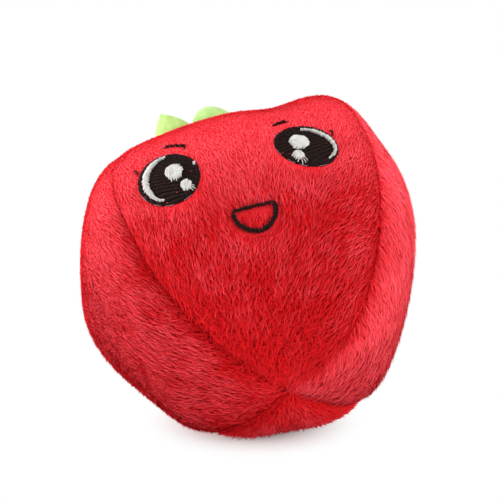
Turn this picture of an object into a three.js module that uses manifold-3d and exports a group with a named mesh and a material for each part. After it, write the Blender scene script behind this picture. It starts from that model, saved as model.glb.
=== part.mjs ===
// Squeaky plush toy: a stuffed red fruit with a stitched face, felt leaves and a squeaker inside.
// Millimetres, +Z up, the face towards -Y. The toy lies on its lower back, flattened on z = 0.
import * as THREE from 'three';
import { mergeVertices } from 'three/addons/utils/BufferGeometryUtils.js';
import Module from 'manifold-3d';

const wasm = await Module();
wasm.setup();

// Driving dimensions of the stuffed body
const bodyRadius = 50;            // nominal half width of the stuffed body
const goreCount = 4;              // sewn petals round the body
const bodyCentreHeight = 43.5;    // body centre above the floor it lies on
const leanBackDegrees = 52.5;     // how far the crown leans away from the face
const rollDegrees = 16;           // sideways roll, the face's right side up
const turnDegrees = -1;           // turn about the vertical
const settleBlend = 2;            // how softly the cover rounds into its flat patch
// Radius of a gore's middle, crown to bottom at even angles, as shares of bodyRadius
const profileShares = [
  0.695, 0.745, 0.865, 0.98, 1.04, 1.034, 0.99, 0.948, 0.918, 0.896, 0.87, 0.845, 0.834,
];
// How much further out a seam stands than the middle of the gore, at the same angles
const cornerShares = [
  0, 0.02, 0.06, 0.105, 0.115, 0.09, 0.065, 0.055, 0.06, 0.065, 0.05, 0.02, 0,
];
// Uneven stuffing: degrees from the crown, degrees round from the face, spread in degrees, height share
const lumpShares = [
  [56, 46, 17, 0.075], [51, 24, 11, -0.04], [50, 6, 12, 0.03], [52, -26, 12, -0.025],
  [92, 45, 24, 0.035], [138, -45, 25, -0.085], [138, 172, 26, 0.05], [138, 128, 18, 0.03],
  [66, 54, 12, -0.04], [90, 72, 16, 0.016], [138, 137, 16, -0.022], [84, -105, 15, 0.024],
  [112, -121, 15, -0.03], [52, -38, 10, -0.018], [62, -66, 14, -0.012], [51, -12, 12, 0.018],
];

// Plush cover and its seams
const coverThickness = 3.2;       // woven backing and pile together
const seamGap = 0.3;              // between neighbouring gores
const seamDip = 2.3;              // how deep a seam is drawn in
const seamDipWidth = 3;           // how far the dip reaches into a gore
const seamFadeShare = 0.02;       // the share of its depth at which the dip ends
const allowanceReach = 4.4;       // seam allowance turned in below the cover
const allowanceThickness = 1.3;
const threadRadius = 0.35;
const threadDepthShare = 0.4;     // where the thread runs, as a share of the allowance
const allowanceRoomShare = 0.8;   // most of a half gore that an allowance may take near the poles
const threadEndShare = 1 / 12;    // how far short of a seam's ends its thread stops, in gore spans
const openingRadius = 3;          // small round opening where the gore tips meet
const clearance = 0.3;            // between any two pieces that touch

// Embroidery
const pileSink = 0.9;             // embroidery lies this far below the pile's tips
const threadPad = 1;              // thickness of a filled patch of thread
const raisedThread = 0.35;        // thickness of the white thread on top
const backingSheet = 0.45;        // stiffener behind the front panel
const liningGap = 0.5;            // between the cover's back and what lies behind it
const backingMargin = 8.2;        // from the stiffener's sides to the seams
const backingHeight = 40;
const backingAngleDegrees = 88;   // degrees down from the crown
const faceTurnDegrees = -2.1;     // middle of the mouth and stiffener from the gore's middle
const leftEyeDegrees = { down: 80.1, round: -25.3, tilt: -19 };
const rightEyeDegrees = { down: 80.2, round: 20.8, tilt: -24 };
const leftEyeWidth = 17.6;
const leftEyeHeight = 16.4;
const rightEyeWidth = 17.9;
const rightEyeHeight = 13.8;
const mouthAngleDegrees = 99.6;
const mouthWidth = 13;
const mouthHeight = 7.6;
const mouthStitch = 1.5;          // width of the outline stitch
const mouthShares = { drop: 0.9, top: 0.08 };
const lashLength = 2.3;
const lidStitch = 0.9;            // width of lid and lash stitches
const lidShare = 1.4;             // the lid line's size round the eye
// The white crescent's width and height in each eye
const leftCrescentShares = [0.72, 0.84];
const rightCrescentShares = [0.87, 0.72];
// Each glint's place to the right and up, and its size, as shares of the eye's half width and height
const leftGlintShares = { glint_large: [0.24, 0.14, 0.27], glint_small: [0.46, -0.49, 0.17] };
const rightGlintShares = { glint_large: [-0.18, 0.16, 0.3], glint_small: [-0.33, -0.45, 0.17] };
// Degrees round each eye, anticlockwise from its right end, and the way that its lash points
const leftEyeTurns = { crescent: [103, 261], lid: [74, 128], lash: 164, lashWay: 110 };
const rightEyeTurns = { crescent: [-33, 108], lid: [92, 142], lash: 46, lashWay: 88 };

// Felt leaves on the crown
const feltThickness = 1.2;
const calyxRadius = 7;
const leafLength = 26;
const leafHalfWidth = 7.4;
const leafRootHalfWidth = 2.2;
const leafCup = 1.5;              // how far a leaf's edges curl up
const leafWidestShare = 0.5;      // where along its length a leaf is widest
const leafTaperPower = 2.4;       // a higher power keeps a leaf broad for longer
// Round from the face, rise at the root and rise at the tip
const leafDegrees = [[-37, 14, 88], [6, 52, 140], [90, 30, 60], [166, 24, 46], [-108, 20, 50]];
const leafBendPowers = [1, 2, 1, 1, 1];  // a higher power bends a leaf later along its length

// Squeaker, upright inside the stuffing
const squeakerFloorHeight = 36;   // underside of its base cup above the floor
const squeakerRadius = 17;
const squeakerWall = 0.9;
const baseCupHeight = 6;
const pleatHeight = 9;
const pleatDepth = 1.8;
const pleatCount = 3;
const capHeight = 5;
const capShoulderShare = 0.6;     // of the cap's height
const neckBore = 3.8;
const neckLength = 6;
const reedBore = 2.6;
const reedPlugLip = 1;
const reedLength = 7;
const reedWidth = 3;
const reedThickness = 0.3;
const reedClampLength = 2.4;
const reedSlotWidth = 1.2;
const reedSlotDepth = 1;
const pouchWall = 0.7;
const pouchHem = 4;               // flat hem where the two halves are sewn
const foldSlope = 4;              // over which the stuffing comes up to the cover beside a seam

// Fineness
const roundSegments = 20;
const smallSegments = 12;
const threadSides = 6;
const goreSteps = 22;
const wadSteps = 16;
const crescentSteps = 10;
const lidSteps = 8;
const mouthSteps = 14;
const mouthTopSteps = 4;
const acrossShares = [-1, -0.94, -0.82, -0.6, -0.3, 0, 0.3, 0.6, 0.82, 0.94, 1];
const insideShares = [0.78, 0.52, 0.26, 0, -0.26, -0.52, -0.78];
const leafShares = [0, 0.12, 0.27, 0.42, 0.57, 0.72, 0.86, 1];
const leafAcrossShares = [-1, -0.5, 0, 0.5, 1];

const radians = Math.PI / 180;
const goreSpan = 2 * Math.PI / goreCount;

// Materials
function finish(colour, roughness, metalness = 0) {
  return new THREE.MeshStandardMaterial({ color: colour, roughness, metalness });
}
const plush = () => finish('#E0202E', 0.95);
const blackThread = () => finish('#1E1414', 0.6);
const whiteThread = () => finish('#EDEBE6', 0.6);
const redThread = () => finish('#A81420', 0.7);
const felt = () => finish('#B8E86C', 0.95);
const greenThread = () => finish('#8CC152', 0.7);
const fibreFill = () => finish('#F2F0EA', 1);
const pouchCloth = () => finish('#E8E4DC', 0.95);
const softPlastic = () => finish('#F4F4EE', 0.45);
const hardPlastic = () => finish('#D9DCE0', 0.4);
const brass = () => finish('#C8A24A', 0.35, 1);

const toy = new THREE.Group();
const poseTurns = [-leanBackDegrees, -rollDegrees, turnDegrees].map((degrees) => degrees * radians);
const pose = new THREE.Euler(...poseTurns, 'ZXY');
const poseMatrix = new THREE.Matrix4().makeRotationFromEuler(pose).setPosition(0, 0, bodyCentreHeight);

// Solids
function closedMesh(positions, indices) {
  const geometry = new THREE.BufferGeometry();
  geometry.setAttribute('position', new THREE.Float32BufferAttribute(positions, 3));
  geometry.setIndex(indices);
  let volume = 0;
  const corner = [0, 1, 2].map(() => new THREE.Vector3());
  for (let i = 0; i < indices.length; i += 3) {
    corner.forEach((v, k) => v.fromArray(positions, 3 * indices[i + k]));
    volume += corner[0].dot(corner[1].clone().cross(corner[2]));
  }
  if (volume < 0) {
    for (let i = 0; i < indices.length; i += 3) {
      [indices[i + 1], indices[i + 2]] = [indices[i + 2], indices[i + 1]];
    }
    geometry.setIndex(indices);
  }
  return geometry;
}

// Cuts a flat outline into triangles that use every point, also those in line with their neighbours
function outlineTriangles(outline) {
  const cross = (a, b, c) => (b.x - a.x) * (c.y - a.y) - (b.y - a.y) * (c.x - a.x);
  const way = Math.sign(THREE.ShapeUtils.area(outline));
  const left = outline.map((_, i) => i);
  const triangles = [];
  while (left.length > 3) {
    let best = { shape: 0 };
    for (let k = 0; k < left.length; k++) {
      const ear = [left.at(k - 1), left[k], left[(k + 1) % left.length]];
      const [a, b, c] = ear.map((i) => outline[i]);
      const longest = Math.max(a.distanceToSquared(b), b.distanceToSquared(c), c.distanceToSquared(a));
      const shape = way * cross(a, b, c) / longest;
      if (shape <= best.shape) continue;
      const blocked = left.some((i) => !ear.includes(i) && way * cross(a, b, outline[i]) >= 0
        && way * cross(b, c, outline[i]) >= 0 && way * cross(c, a, outline[i]) >= 0);
      if (!blocked) best = { shape, k, ear };
    }
    triangles.push(best.ear);
    left.splice(best.k, 1);
  }
  triangles.push(left);
  return triangles;
}

// Skins a row of rings; each ring is a list of points. The end caps are cut on the flat outline given.
function loft(rings, flatOutline, ringClosed = false) {
  const n = rings[0].length;
  const positions = rings.flat().flatMap((p) => [p.x, p.y, p.z]);
  const indices = [];
  const spans = ringClosed ? rings.length : rings.length - 1;
  for (let i = 0; i < spans; i++) {
    for (let j = 0; j < n; j++) {
      const a = i * n + j;
      const b = i * n + (j + 1) % n;
      const c = ((i + 1) % rings.length) * n + (j + 1) % n;
      const d = ((i + 1) % rings.length) * n + j;
      indices.push(a, b, c, a, c, d);
    }
  }
  if (!ringClosed) {
    const last = (rings.length - 1) * n;
    for (const [a, b, c] of outlineTriangles(flatOutline(0))) indices.push(a, c, b);
    for (const [a, b, c] of outlineTriangles(flatOutline(1))) indices.push(last + a, last + b, last + c);
  }
  return closedMesh(positions, indices);
}

function add(name, geometry, material, parent = toy) {
  const mesh = new THREE.Mesh(geometry, material);
  mesh.name = name;
  parent.add(mesh);
  return mesh;
}

function toManifold(geometry) {
  const bare = geometry.clone();
  bare.deleteAttribute('normal');
  bare.deleteAttribute('uv');
  const merged = mergeVertices(bare);
  return new wasm.Manifold(new wasm.Mesh({
    numProp: 3,
    vertProperties: new Float32Array(merged.attributes.position.array),
    triVerts: new Uint32Array(merged.index.array),
  }));
}

function toGeometry(manifold) {
  const mesh = manifold.getMesh();
  const geometry = new THREE.BufferGeometry();
  geometry.setAttribute('position', new THREE.Float32BufferAttribute(mesh.vertProperties, 3));
  geometry.setIndex([...mesh.triVerts]);
  return geometry;
}

// Form of the stuffed body
function evenCurve(shares, t) {
  const last = shares.length - 1;
  const at = (i) => shares[i < 0 ? -i : i > last ? 2 * last - i : i];
  const x = t * last;
  const i = Math.min(Math.floor(x), last - 1);
  const f = x - i;
  const [p, q, r, s] = [at(i - 1), at(i), at(i + 1), at(i + 2)];
  return q + f / 2 * (r - p + f * (2 * p - 5 * q + 4 * r - s + f * (3 * (q - r) + s - p)));
}

function bodyReach(down, round) {
  const corner = (1 - Math.cos(goreCount * round)) / 2;
  const t = down / Math.PI;
  let share = evenCurve(profileShares, t) + corner * evenCurve(cornerShares, t);
  for (const [lumpDown, lumpRound, spread, height] of lumpShares) {
    const cosine = Math.cos(down) * Math.cos(lumpDown * radians)
      + Math.sin(down) * Math.sin(lumpDown * radians) * Math.cos(round - lumpRound * radians);
    const away = Math.acos(Math.min(1, Math.max(-1, cosine))) / (spread * radians);
    share += height * Math.exp(-away * away);
  }
  return bodyRadius * share;
}

function ringRadius(down, round) {
  return bodyReach(down, round) * Math.sin(down);
}

// A level below the floor is pressed flat, softly
function settled(z, level) {
  const above = z - level;
  if (above >= settleBlend) return z;
  if (above <= -settleBlend) return level;
  return level + (above + settleBlend) ** 2 / (4 * settleBlend);
}

// Point of the body at two angles, the given depth below its tight outer form
function bodyPoint(down, round, depth) {
  const reach = bodyReach(down, round) - depth;
  const p = new THREE.Vector3(
    reach * Math.sin(down) * Math.sin(round),
    -reach * Math.sin(down) * Math.cos(round),
    reach * Math.cos(down),
  ).applyMatrix4(poseMatrix);
  p.z = settled(p.z, Math.max(0, depth));
  return p;
}

function seamDepth(down, round, seam) {
  const arc = Math.abs(round - seam) * ringRadius(down, seam);
  const share = Math.exp(-arc / seamDipWidth);
  return seamDip * Math.max(0, share - seamFadeShare) / (1 - seamFadeShare);
}

// Cover: four gores with their seam allowances turned in
const crownStart = Math.asin(openingRadius / (bodyRadius * profileShares[0]));
const bottomEnd = Math.PI - Math.asin(openingRadius / (bodyRadius * profileShares.at(-1)));
const allowanceEnd = coverThickness + allowanceReach;
const foldDepth = seamDip + clearance;
const threadDepth = coverThickness + allowanceReach * threadDepthShare;
const channel = threadRadius + clearance;

// Angles that the seam gap, the thread channel and the allowance take up beside a seam
function seamAngles(down, seam) {
  const ring = ringRadius(down, seam);
  const wide = (channel + allowanceThickness) / ring;
  const most = allowanceRoomShare * goreSpan / 2;
  const fit = Math.min(1, most / wide) / ring;
  return {
    gap: seamGap / 2 * fit,
    channel: channel * fit,
    allowance: (channel + allowanceThickness) * fit,
  };
}

function goreSection(down, middle) {
  const left = middle - goreSpan / 2;
  const right = middle + goreSpan / 2;
  const l = seamAngles(down, left);
  const r = seamAngles(down, right);
  const section = acrossShares.map((share) => {
    const half = goreSpan / 2 - (share < 0 ? l.gap : r.gap);
    const round = middle + share * half;
    return [round, Math.max(seamDepth(down, round, left), seamDepth(down, round, right))];
  });
  section.push(
    [right - r.gap, foldDepth], [right - r.channel, foldDepth], [right - r.channel, allowanceEnd],
    [right - r.allowance, allowanceEnd], [right - r.allowance, coverThickness],
  );
  for (const share of insideShares) {
    const half = goreSpan / 2 - (share < 0 ? l.allowance : r.allowance);
    section.push([middle + share * half, coverThickness]);
  }
  section.push(
    [left + l.allowance, coverThickness], [left + l.allowance, allowanceEnd],
    [left + l.channel, allowanceEnd], [left + l.channel, foldDepth], [left + l.gap, foldDepth],
  );
  return section;
}

function downSteps(start, end, steps) {
  return Array.from({ length: steps + 1 }, (_, i) => start + (end - start) * i / steps);
}

function gore(middle) {
  const downs = downSteps(crownStart, bottomEnd, goreSteps);
  const ring = (down) => goreSection(down, middle).map((place) => bodyPoint(down, ...place));
  const flat = (end) => {
    const down = end ? bottomEnd : crownStart;
    return goreSection(down, middle).map(([round, depth]) => {
      const reach = bodyReach(down, round) - depth;
      return new THREE.Vector2(Math.sin(round - middle), Math.cos(round - middle)).multiplyScalar(reach);
    });
  };
  return loft(downs.map(ring), flat);
}

// Thread along a seam, inside the channel between the two allowances
function seamThread(seam) {
  const short = threadEndShare * goreSpan;
  const downs = downSteps(crownStart + short, bottomEnd - short, goreSteps);
  const turns = Array.from({ length: threadSides }, (_, i) => 2 * Math.PI * i / threadSides);
  const rings = downs.map((down) => turns.map((turn) => {
    const round = seam + threadRadius * Math.sin(turn) / ringRadius(down, seam);
    return bodyPoint(down, round, threadDepth + threadRadius * Math.cos(turn));
  }));
  const flat = () => turns.map((turn) => new THREE.Vector2(Math.sin(turn), Math.cos(turn)));
  return loft(rings, flat);
}

// Embroidery, drawn flat in millimetres (right, up) about a place on the face
function facePoint(place, right, up, depth) {
  const reach = bodyRadius;
  const down = place.down - up / reach;
  return bodyPoint(down, place.round + right / (reach * Math.sin(place.down)), depth);
}

// A patch between two depths inside an outline given as a function of the turn
function patch(place, outline, spokes, top, bottom) {
  const rows = 3;
  const positions = [];
  const indices = [];
  const layer = (depth) => {
    const start = positions.length / 3;
    positions.push(...facePoint(place, ...outline.middle, depth).toArray());
    for (let k = 1; k <= rows; k++) {
      for (let i = 0; i < spokes; i++) {
        const edge = outline.at(2 * Math.PI * i / spokes);
        const [right, up] = outline.middle.map((m, axis) => m + (edge[axis] - m) * k / rows);
        positions.push(...facePoint(place, right, up, depth).toArray());
      }
    }
    return start;
  };
  const upper = layer(top);
  const lower = layer(bottom);
  const ring = (start, k, i) => start + 1 + (k - 1) * spokes + i % spokes;
  for (let i = 0; i < spokes; i++) {
    indices.push(upper, ring(upper, 1, i), ring(upper, 1, i + 1));
    indices.push(lower, ring(lower, 1, i + 1), ring(lower, 1, i));
    for (let k = 1; k < rows; k++) {
      indices.push(ring(upper, k, i), ring(upper, k + 1, i), ring(upper, k + 1, i + 1));
      indices.push(ring(upper, k, i), ring(upper, k + 1, i + 1), ring(upper, k, i + 1));
      indices.push(ring(lower, k, i), ring(lower, k + 1, i + 1), ring(lower, k + 1, i));
      indices.push(ring(lower, k, i), ring(lower, k, i + 1), ring(lower, k + 1, i + 1));
    }
    indices.push(ring(upper, rows, i), ring(lower, rows, i), ring(lower, rows, i + 1));
    indices.push(ring(upper, rows, i), ring(lower, rows, i + 1), ring(upper, rows, i + 1));
  }
  return closedMesh(positions, indices);
}

// A flat line of thread along points (right, up), tapering to its ends unless it closes on itself
function stitchLine(place, points, width, top, bottom, closes = false, endWidth = width / 2) {
  const n = points.length;
  const rings = points.map(([x, y], i) => {
    const before = points[closes ? (i + n - 1) % n : Math.max(0, i - 1)];
    const after = points[closes ? (i + 1) % n : Math.min(n - 1, i + 1)];
    const along = new THREE.Vector2(after[0] - before[0], after[1] - before[1]).normalize();
    const middle = closes ? 1 : Math.sin(Math.PI * i / (n - 1));
    const half = (endWidth + (width - endWidth) * middle) / 2;
    const side = [-along.y * half, along.x * half];
    return [
      facePoint(place, x - side[0], y - side[1], top),
      facePoint(place, x + side[0], y + side[1], top),
      facePoint(place, x + side[0], y + side[1], bottom),
      facePoint(place, x - side[0], y - side[1], bottom),
    ];
  });
  const flat = () => [[-1, 1], [1, 1], [1, -1], [-1, -1]].map(([x, y]) => new THREE.Vector2(x, y));
  return loft(rings, flat, closes);
}

function ellipse(halfWidth, halfHeight, tilt, middle = [0, 0], grow = 0) {
  return {
    middle,
    at(turn) {
      const x = (halfWidth + grow) * Math.cos(turn);
      const y = (halfHeight + grow) * Math.sin(turn);
      return [
        middle[0] + x * Math.cos(tilt) - y * Math.sin(tilt),
        middle[1] + x * Math.sin(tilt) + y * Math.cos(tilt),
      ];
    },
  };
}

function arc(halfWidth, halfHeight, tilt, from, to, steps) {
  const shape = ellipse(halfWidth, halfHeight, tilt);
  const turn = (i) => (from + (to - from) * i / steps) * radians;
  return Array.from({ length: steps + 1 }, (_, i) => shape.at(turn(i)));
}

const patchTop = pileSink;
const patchBottom = pileSink + threadPad;
const pocketBottom = patchBottom + clearance;
const pocketTop = -coverThickness;
const pockets = [];

function eye(name, degrees, halfWidth, halfHeight, turns, crescentShares, glintShares) {
  const place = { down: degrees.down * radians, round: degrees.round * radians };
  const tilt = degrees.tilt * radians;
  const black = ellipse(halfWidth, halfHeight, tilt);
  add(`${name}_black`, patch(place, black, roundSegments, patchTop, patchBottom), blackThread());
  const pocket = ellipse(halfWidth, halfHeight, tilt, [0, 0], clearance);
  pockets.push(patch(place, pocket, roundSegments, pocketTop, pocketBottom));

  // White thread lies on the black: an outer crescent and two glints
  const whiteBottom = patchTop - clearance;
  const whiteTop = whiteBottom - raisedThread;
  const inner = [halfWidth * crescentShares[0], halfHeight * crescentShares[1], tilt];
  const curve = arc(...inner, ...turns.crescent, crescentSteps);
  const crescent = stitchLine(place, curve, mouthStitch, whiteTop, whiteBottom, false, threadRadius);
  add(`${name}_crescent`, crescent, whiteThread());
  for (const [label, [right, up, size]] of Object.entries(glintShares)) {
    const middle = [right * halfWidth, up * halfHeight];
    const shape = ellipse(size * halfWidth, size * halfHeight, tilt, middle);
    add(`${name}_${label}`, patch(place, shape, smallSegments, whiteTop, whiteBottom), whiteThread());
  }

  // Lid line above and a lash beside the eye, in pockets of their own
  const lid = arc(halfWidth * lidShare, halfHeight * lidShare, tilt, ...turns.lid, lidSteps);
  const [lashX, lashY] = black.at(turns.lash * radians);
  const away = 1 + 2 * clearance / Math.hypot(lashX, lashY);
  const lashWay = turns.lashWay * radians;
  const lash = [0, 0.5, 1].map((share) => {
    const along = share * lashLength;
    return [lashX * away + along * Math.cos(lashWay), lashY * away + along * Math.sin(lashWay)];
  });
  for (const [label, points] of [['lid_stitch', lid], ['lash_stitch', lash]]) {
    add(`${name}_${label}`, stitchLine(place, points, lidStitch, patchTop, patchBottom), blackThread());
    const room = [pastEnd(points[1], points[0]), ...points, pastEnd(points.at(-2), points.at(-1))];
    const wide = lidStitch + 2 * clearance;
    pockets.push(stitchLine(place, room, wide, pocketTop, pocketBottom, false, wide));
  }
}

// The point one clearance beyond the end of a line
function pastEnd(before, end) {
  const along = new THREE.Vector2(end[0] - before[0], end[1] - before[1]).setLength(clearance);
  return [end[0] + along.x, end[1] + along.y];
}

function mouth() {
  const place = { down: mouthAngleDegrees * radians, round: faceTurnDegrees * radians };
  const half = mouthWidth / 2;
  const points = arc(half, mouthHeight * mouthShares.drop, 0, 180, 360, mouthSteps);
  for (let i = 1; i < mouthTopSteps; i++) {
    points.push([half * (1 - 2 * i / mouthTopSteps), mouthHeight * mouthShares.top]);
  }
  const outline = stitchLine(place, points, mouthStitch, patchTop, patchBottom, true);
  add('mouth_outline_stitch', outline, blackThread());
  pockets.push(stitchLine(place, points, mouthStitch + 2 * clearance, pocketTop, pocketBottom, true));
}

// Thin stiffening sheet behind the stitched face
function backing() {
  const place = { down: backingAngleDegrees * radians, round: faceTurnDegrees * radians };
  const top = coverThickness + liningGap;
  const width = bodyRadius * goreSpan - 2 * backingMargin;
  const columns = 12;
  const rows = 6;
  const rings = Array.from({ length: columns + 1 }, (_, i) => {
    const x = width * (i / columns - 0.5);
    const ring = [];
    for (let j = 0; j <= rows; j++) ring.push([x, backingHeight * (j / rows - 0.5), top]);
    for (let j = rows; j >= 0; j--) ring.push([x, backingHeight * (j / rows - 0.5), top + backingSheet]);
    return ring.map(([right, up, depth]) => facePoint(place, right, up, depth));
  });
  const flat = () => {
    const outline = [];
    for (let j = 0; j <= rows; j++) outline.push(new THREE.Vector2(j, 1));
    for (let j = rows; j >= 0; j--) outline.push(new THREE.Vector2(j, 0));
    return outline;
  };
  return loft(rings, flat);
}

const leftEyeHalves = [leftEyeWidth / 2, leftEyeHeight / 2];
const rightEyeHalves = [rightEyeWidth / 2, rightEyeHeight / 2];
eye('left_eye', leftEyeDegrees, ...leftEyeHalves, leftEyeTurns, leftCrescentShares, leftGlintShares);
eye('right_eye', rightEyeDegrees, ...rightEyeHalves, rightEyeTurns, rightCrescentShares,
  rightGlintShares);
mouth();
add('embroidery_backing', backing(), whiteThread());

const goreNames = ['front_panel', 'right_panel', 'back_panel', 'left_panel'];
const threadNames = ['front_right', 'back_right', 'back_left', 'front_left'];
for (let i = 0; i < goreCount; i++) {
  let geometry = gore(i * goreSpan);
  if (i === 0) {
    let cut = toManifold(geometry);
    for (const pocket of pockets) cut = cut.subtract(toManifold(pocket));
    geometry = toGeometry(cut);
  }
  add(goreNames[i], geometry, plush());
  add(`seam_thread_${threadNames[i]}`, seamThread((i + 0.5) * goreSpan), redThread());
}

// Pieces that stand on the body's own axis, crown up
const crown = new THREE.Group();
crown.position.setFromMatrixPosition(poseMatrix);
crown.setRotationFromEuler(pose);
toy.add(crown);

// Turned solid; a profile that doesn't start on the axis closes on itself
function lathe(profile, segments = roundSegments) {
  const outline = profile[0][0] === 0 ? profile : [...profile, profile[0]];
  const geometry = new THREE.LatheGeometry(outline.map(([r, z]) => new THREE.Vector2(r, z)), segments);
  geometry.rotateX(Math.PI / 2);
  const mesh = toManifold(geometry).getMesh();
  return closedMesh([...mesh.vertProperties], [...mesh.triVerts]);
}

// Knot at the bottom, where the toy was closed after filling
const bottomHeight = bodyRadius * profileShares.at(-1);
const knotRadius = openingRadius - clearance - seamGap;
add('closing_stitch', lathe([
  [0, -bottomHeight + seamDip], [knotRadius / 2, -bottomHeight + seamDip],
  [knotRadius, -bottomHeight + foldDepth], [knotRadius, -bottomHeight + coverThickness],
  [knotRadius / 2, -bottomHeight + allowanceEnd], [0, -bottomHeight + allowanceEnd],
], smallSegments), redThread(), crown);

// Felt calyx: a dished centre on the crown, tied through it
function crownProfile(radius, lift) {
  const down = Math.asin(radius / (bodyRadius * profileShares[0]));
  const reach = bodyReach(down, 0);
  return [reach * Math.sin(down), reach * Math.cos(down) + lift];
}
const tackHole = 2 * threadRadius + clearance;
const dishRadii = [tackHole, (tackHole + calyxRadius) / 2, calyxRadius];
const calyxUnder = dishRadii.map((radius) => crownProfile(radius, clearance));
const calyxOver = dishRadii.map((radius) => crownProfile(radius, clearance + feltThickness));
add('calyx_centre', lathe([...calyxUnder, ...calyxOver.toReversed()]), felt(), crown);

const tackTop = calyxOver[0][1] + clearance;
const tackBottom = bodyRadius * profileShares[0] - allowanceEnd + clearance;
const tackNeck = tackBottom + 2 * knotRadius;
add('calyx_stitch', lathe([
  [0, tackBottom], [knotRadius, tackBottom + knotRadius / 3], [knotRadius, tackBottom + knotRadius],
  [2 * threadRadius, tackNeck], [2 * threadRadius, tackTop], [knotRadius, tackTop],
  [knotRadius - threadRadius, tackTop + 2 * threadRadius], [0, tackTop + 3 * threadRadius],
], smallSegments), greenThread(), crown);

// A leaf starts at its root's middle, runs out along its own -Y and rises towards +Z
function leafWidth(share) {
  if (share < leafWidestShare) {
    const swell = Math.sin(Math.PI / 2 * share / leafWidestShare);
    return leafRootHalfWidth + (leafHalfWidth - leafRootHalfWidth) * swell;
  }
  const tip = (share - leafWidestShare) / (1 - leafWidestShare);
  return Math.max(feltThickness / 3, leafHalfWidth * (1 - tip ** leafTaperPower));
}

function leaf(riseRoot, riseTip, late) {
  const fine = 12;
  const back = leafAcrossShares.toReversed();
  let out = 0;
  let up = 0;
  let share = 0;
  const rings = leafShares.map((target) => {
    const step = (target - share) / fine;
    let rise = riseRoot;
    for (let i = 0; i < fine; i++) {
      rise = riseRoot + (riseTip - riseRoot) * (share + step / 2) ** late;
      out += step * leafLength * Math.cos(rise);
      up += step * leafLength * Math.sin(rise);
      share += step;
    }
    share = target;
    rise = riseRoot + (riseTip - riseRoot) * share ** late;
    const width = leafWidth(share);
    const point = (t, side) => {
      const lift = leafCup * (width / leafHalfWidth) ** 2 * t * t + side * feltThickness / 2;
      return new THREE.Vector3(width * t, -out + lift * Math.sin(rise), up + lift * Math.cos(rise));
    };
    return [...leafAcrossShares.map((t) => point(t, 1)), ...back.map((t) => point(t, -1))];
  });
  const edge = (shares, side) => shares.map((t) => new THREE.Vector2(t, side));
  return loft(rings, () => [...edge(leafAcrossShares, 1), ...edge(back, -1)]);
}

leafDegrees.forEach(([round, riseRoot, riseTip], i) => {
  const [out, up] = crownProfile(calyxRadius + clearance, clearance + feltThickness / 2);
  const arm = new THREE.Group();
  arm.rotation.z = round * radians;
  crown.add(arm);
  const shape = leaf(riseRoot * radians, riseTip * radians, leafBendPowers[i]);
  const mesh = add(`leaf_${i + 1}`, shape, felt(), arm);
  mesh.position.set(0, -out - feltThickness * Math.sin(riseRoot * radians) / 2, up);
});

// Squeaker, upright; heights from the underside of its base cup
const squeaker = new THREE.Group();
squeaker.position.z = squeakerFloorHeight;
toy.add(squeaker);

const neckRadius = neckBore + squeakerWall;
const innerRadius = squeakerRadius - squeakerWall;
add('squeaker_base', lathe([
  [neckBore, -neckLength], [neckRadius, -neckLength], [neckRadius, 0], [squeakerRadius, 0],
  [squeakerRadius, baseCupHeight], [innerRadius, baseCupHeight],
  [innerRadius, squeakerWall], [neckBore, squeakerWall],
]), softPlastic(), squeaker);

const pleatStart = baseCupHeight + clearance;
const pleats = Array.from({ length: 2 * pleatCount + 1 }, (_, i) => [
  squeakerRadius - (i % 2) * pleatDepth, pleatStart + pleatHeight * i / (2 * pleatCount),
]);
add('squeaker_pleats', lathe([
  ...pleats, ...pleats.toReversed().map(([r, z]) => [r - squeakerWall, z]),
]), softPlastic(), squeaker);

const capStart = pleatStart + pleatHeight + clearance;
const capTop = capStart + capHeight;
const capShoulder = capHeight * capShoulderShare;
add('squeaker_cap', lathe([
  [0, capTop], [squeakerRadius - capShoulder, capTop], [squeakerRadius, capTop - capShoulder],
  [squeakerRadius, capStart], [innerRadius, capStart],
  [innerRadius, capTop - capShoulder - squeakerWall / 2],
  [innerRadius - capShoulder, capTop - squeakerWall], [0, capTop - squeakerWall],
]), softPlastic(), squeaker);

// Reed: a plug in the neck holds a slotted seat, and a wedge clamps the tongue on it
const plugRadius = neckBore - clearance;
const plugFloor = -neckLength - clearance;
add('reed_plug', lathe([
  [reedBore, plugFloor - reedPlugLip], [neckRadius, plugFloor - reedPlugLip], [neckRadius, plugFloor],
  [plugRadius, plugFloor], [plugRadius, squeakerWall], [reedBore, squeakerWall],
], smallSegments), hardPlastic(), squeaker);

const seatRadius = reedBore - clearance;
const seatFlat = reedThickness / 2 + clearance;
function halfRound(height, slotted) {
  const edge = Math.acos(seatFlat / seatRadius);
  const shape = new THREE.Shape();
  shape.absarc(0, 0, seatRadius, edge, -edge, true);
  if (slotted) {
    shape.lineTo(seatFlat, -reedSlotWidth / 2);
    shape.lineTo(seatFlat + reedSlotDepth, -reedSlotWidth / 2);
    shape.lineTo(seatFlat + reedSlotDepth, reedSlotWidth / 2);
    shape.lineTo(seatFlat, reedSlotWidth / 2);
  }
  return new THREE.ExtrudeGeometry(shape, { depth: height, bevelEnabled: false, curveSegments: 8 });
}
const seat = add('reed_seat', halfRound(reedLength, true), hardPlastic(), squeaker);
seat.rotation.z = Math.PI;
seat.position.z = plugFloor;
const wedge = add('reed_wedge', halfRound(reedClampLength, false), hardPlastic(), squeaker);
wedge.position.z = plugFloor;
const tongue = new THREE.BoxGeometry(reedThickness, reedWidth, reedLength);
const tongueMesh = add('reed_tongue', tongue, brass(), squeaker);
tongueMesh.position.z = plugFloor + reedLength / 2;

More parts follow.
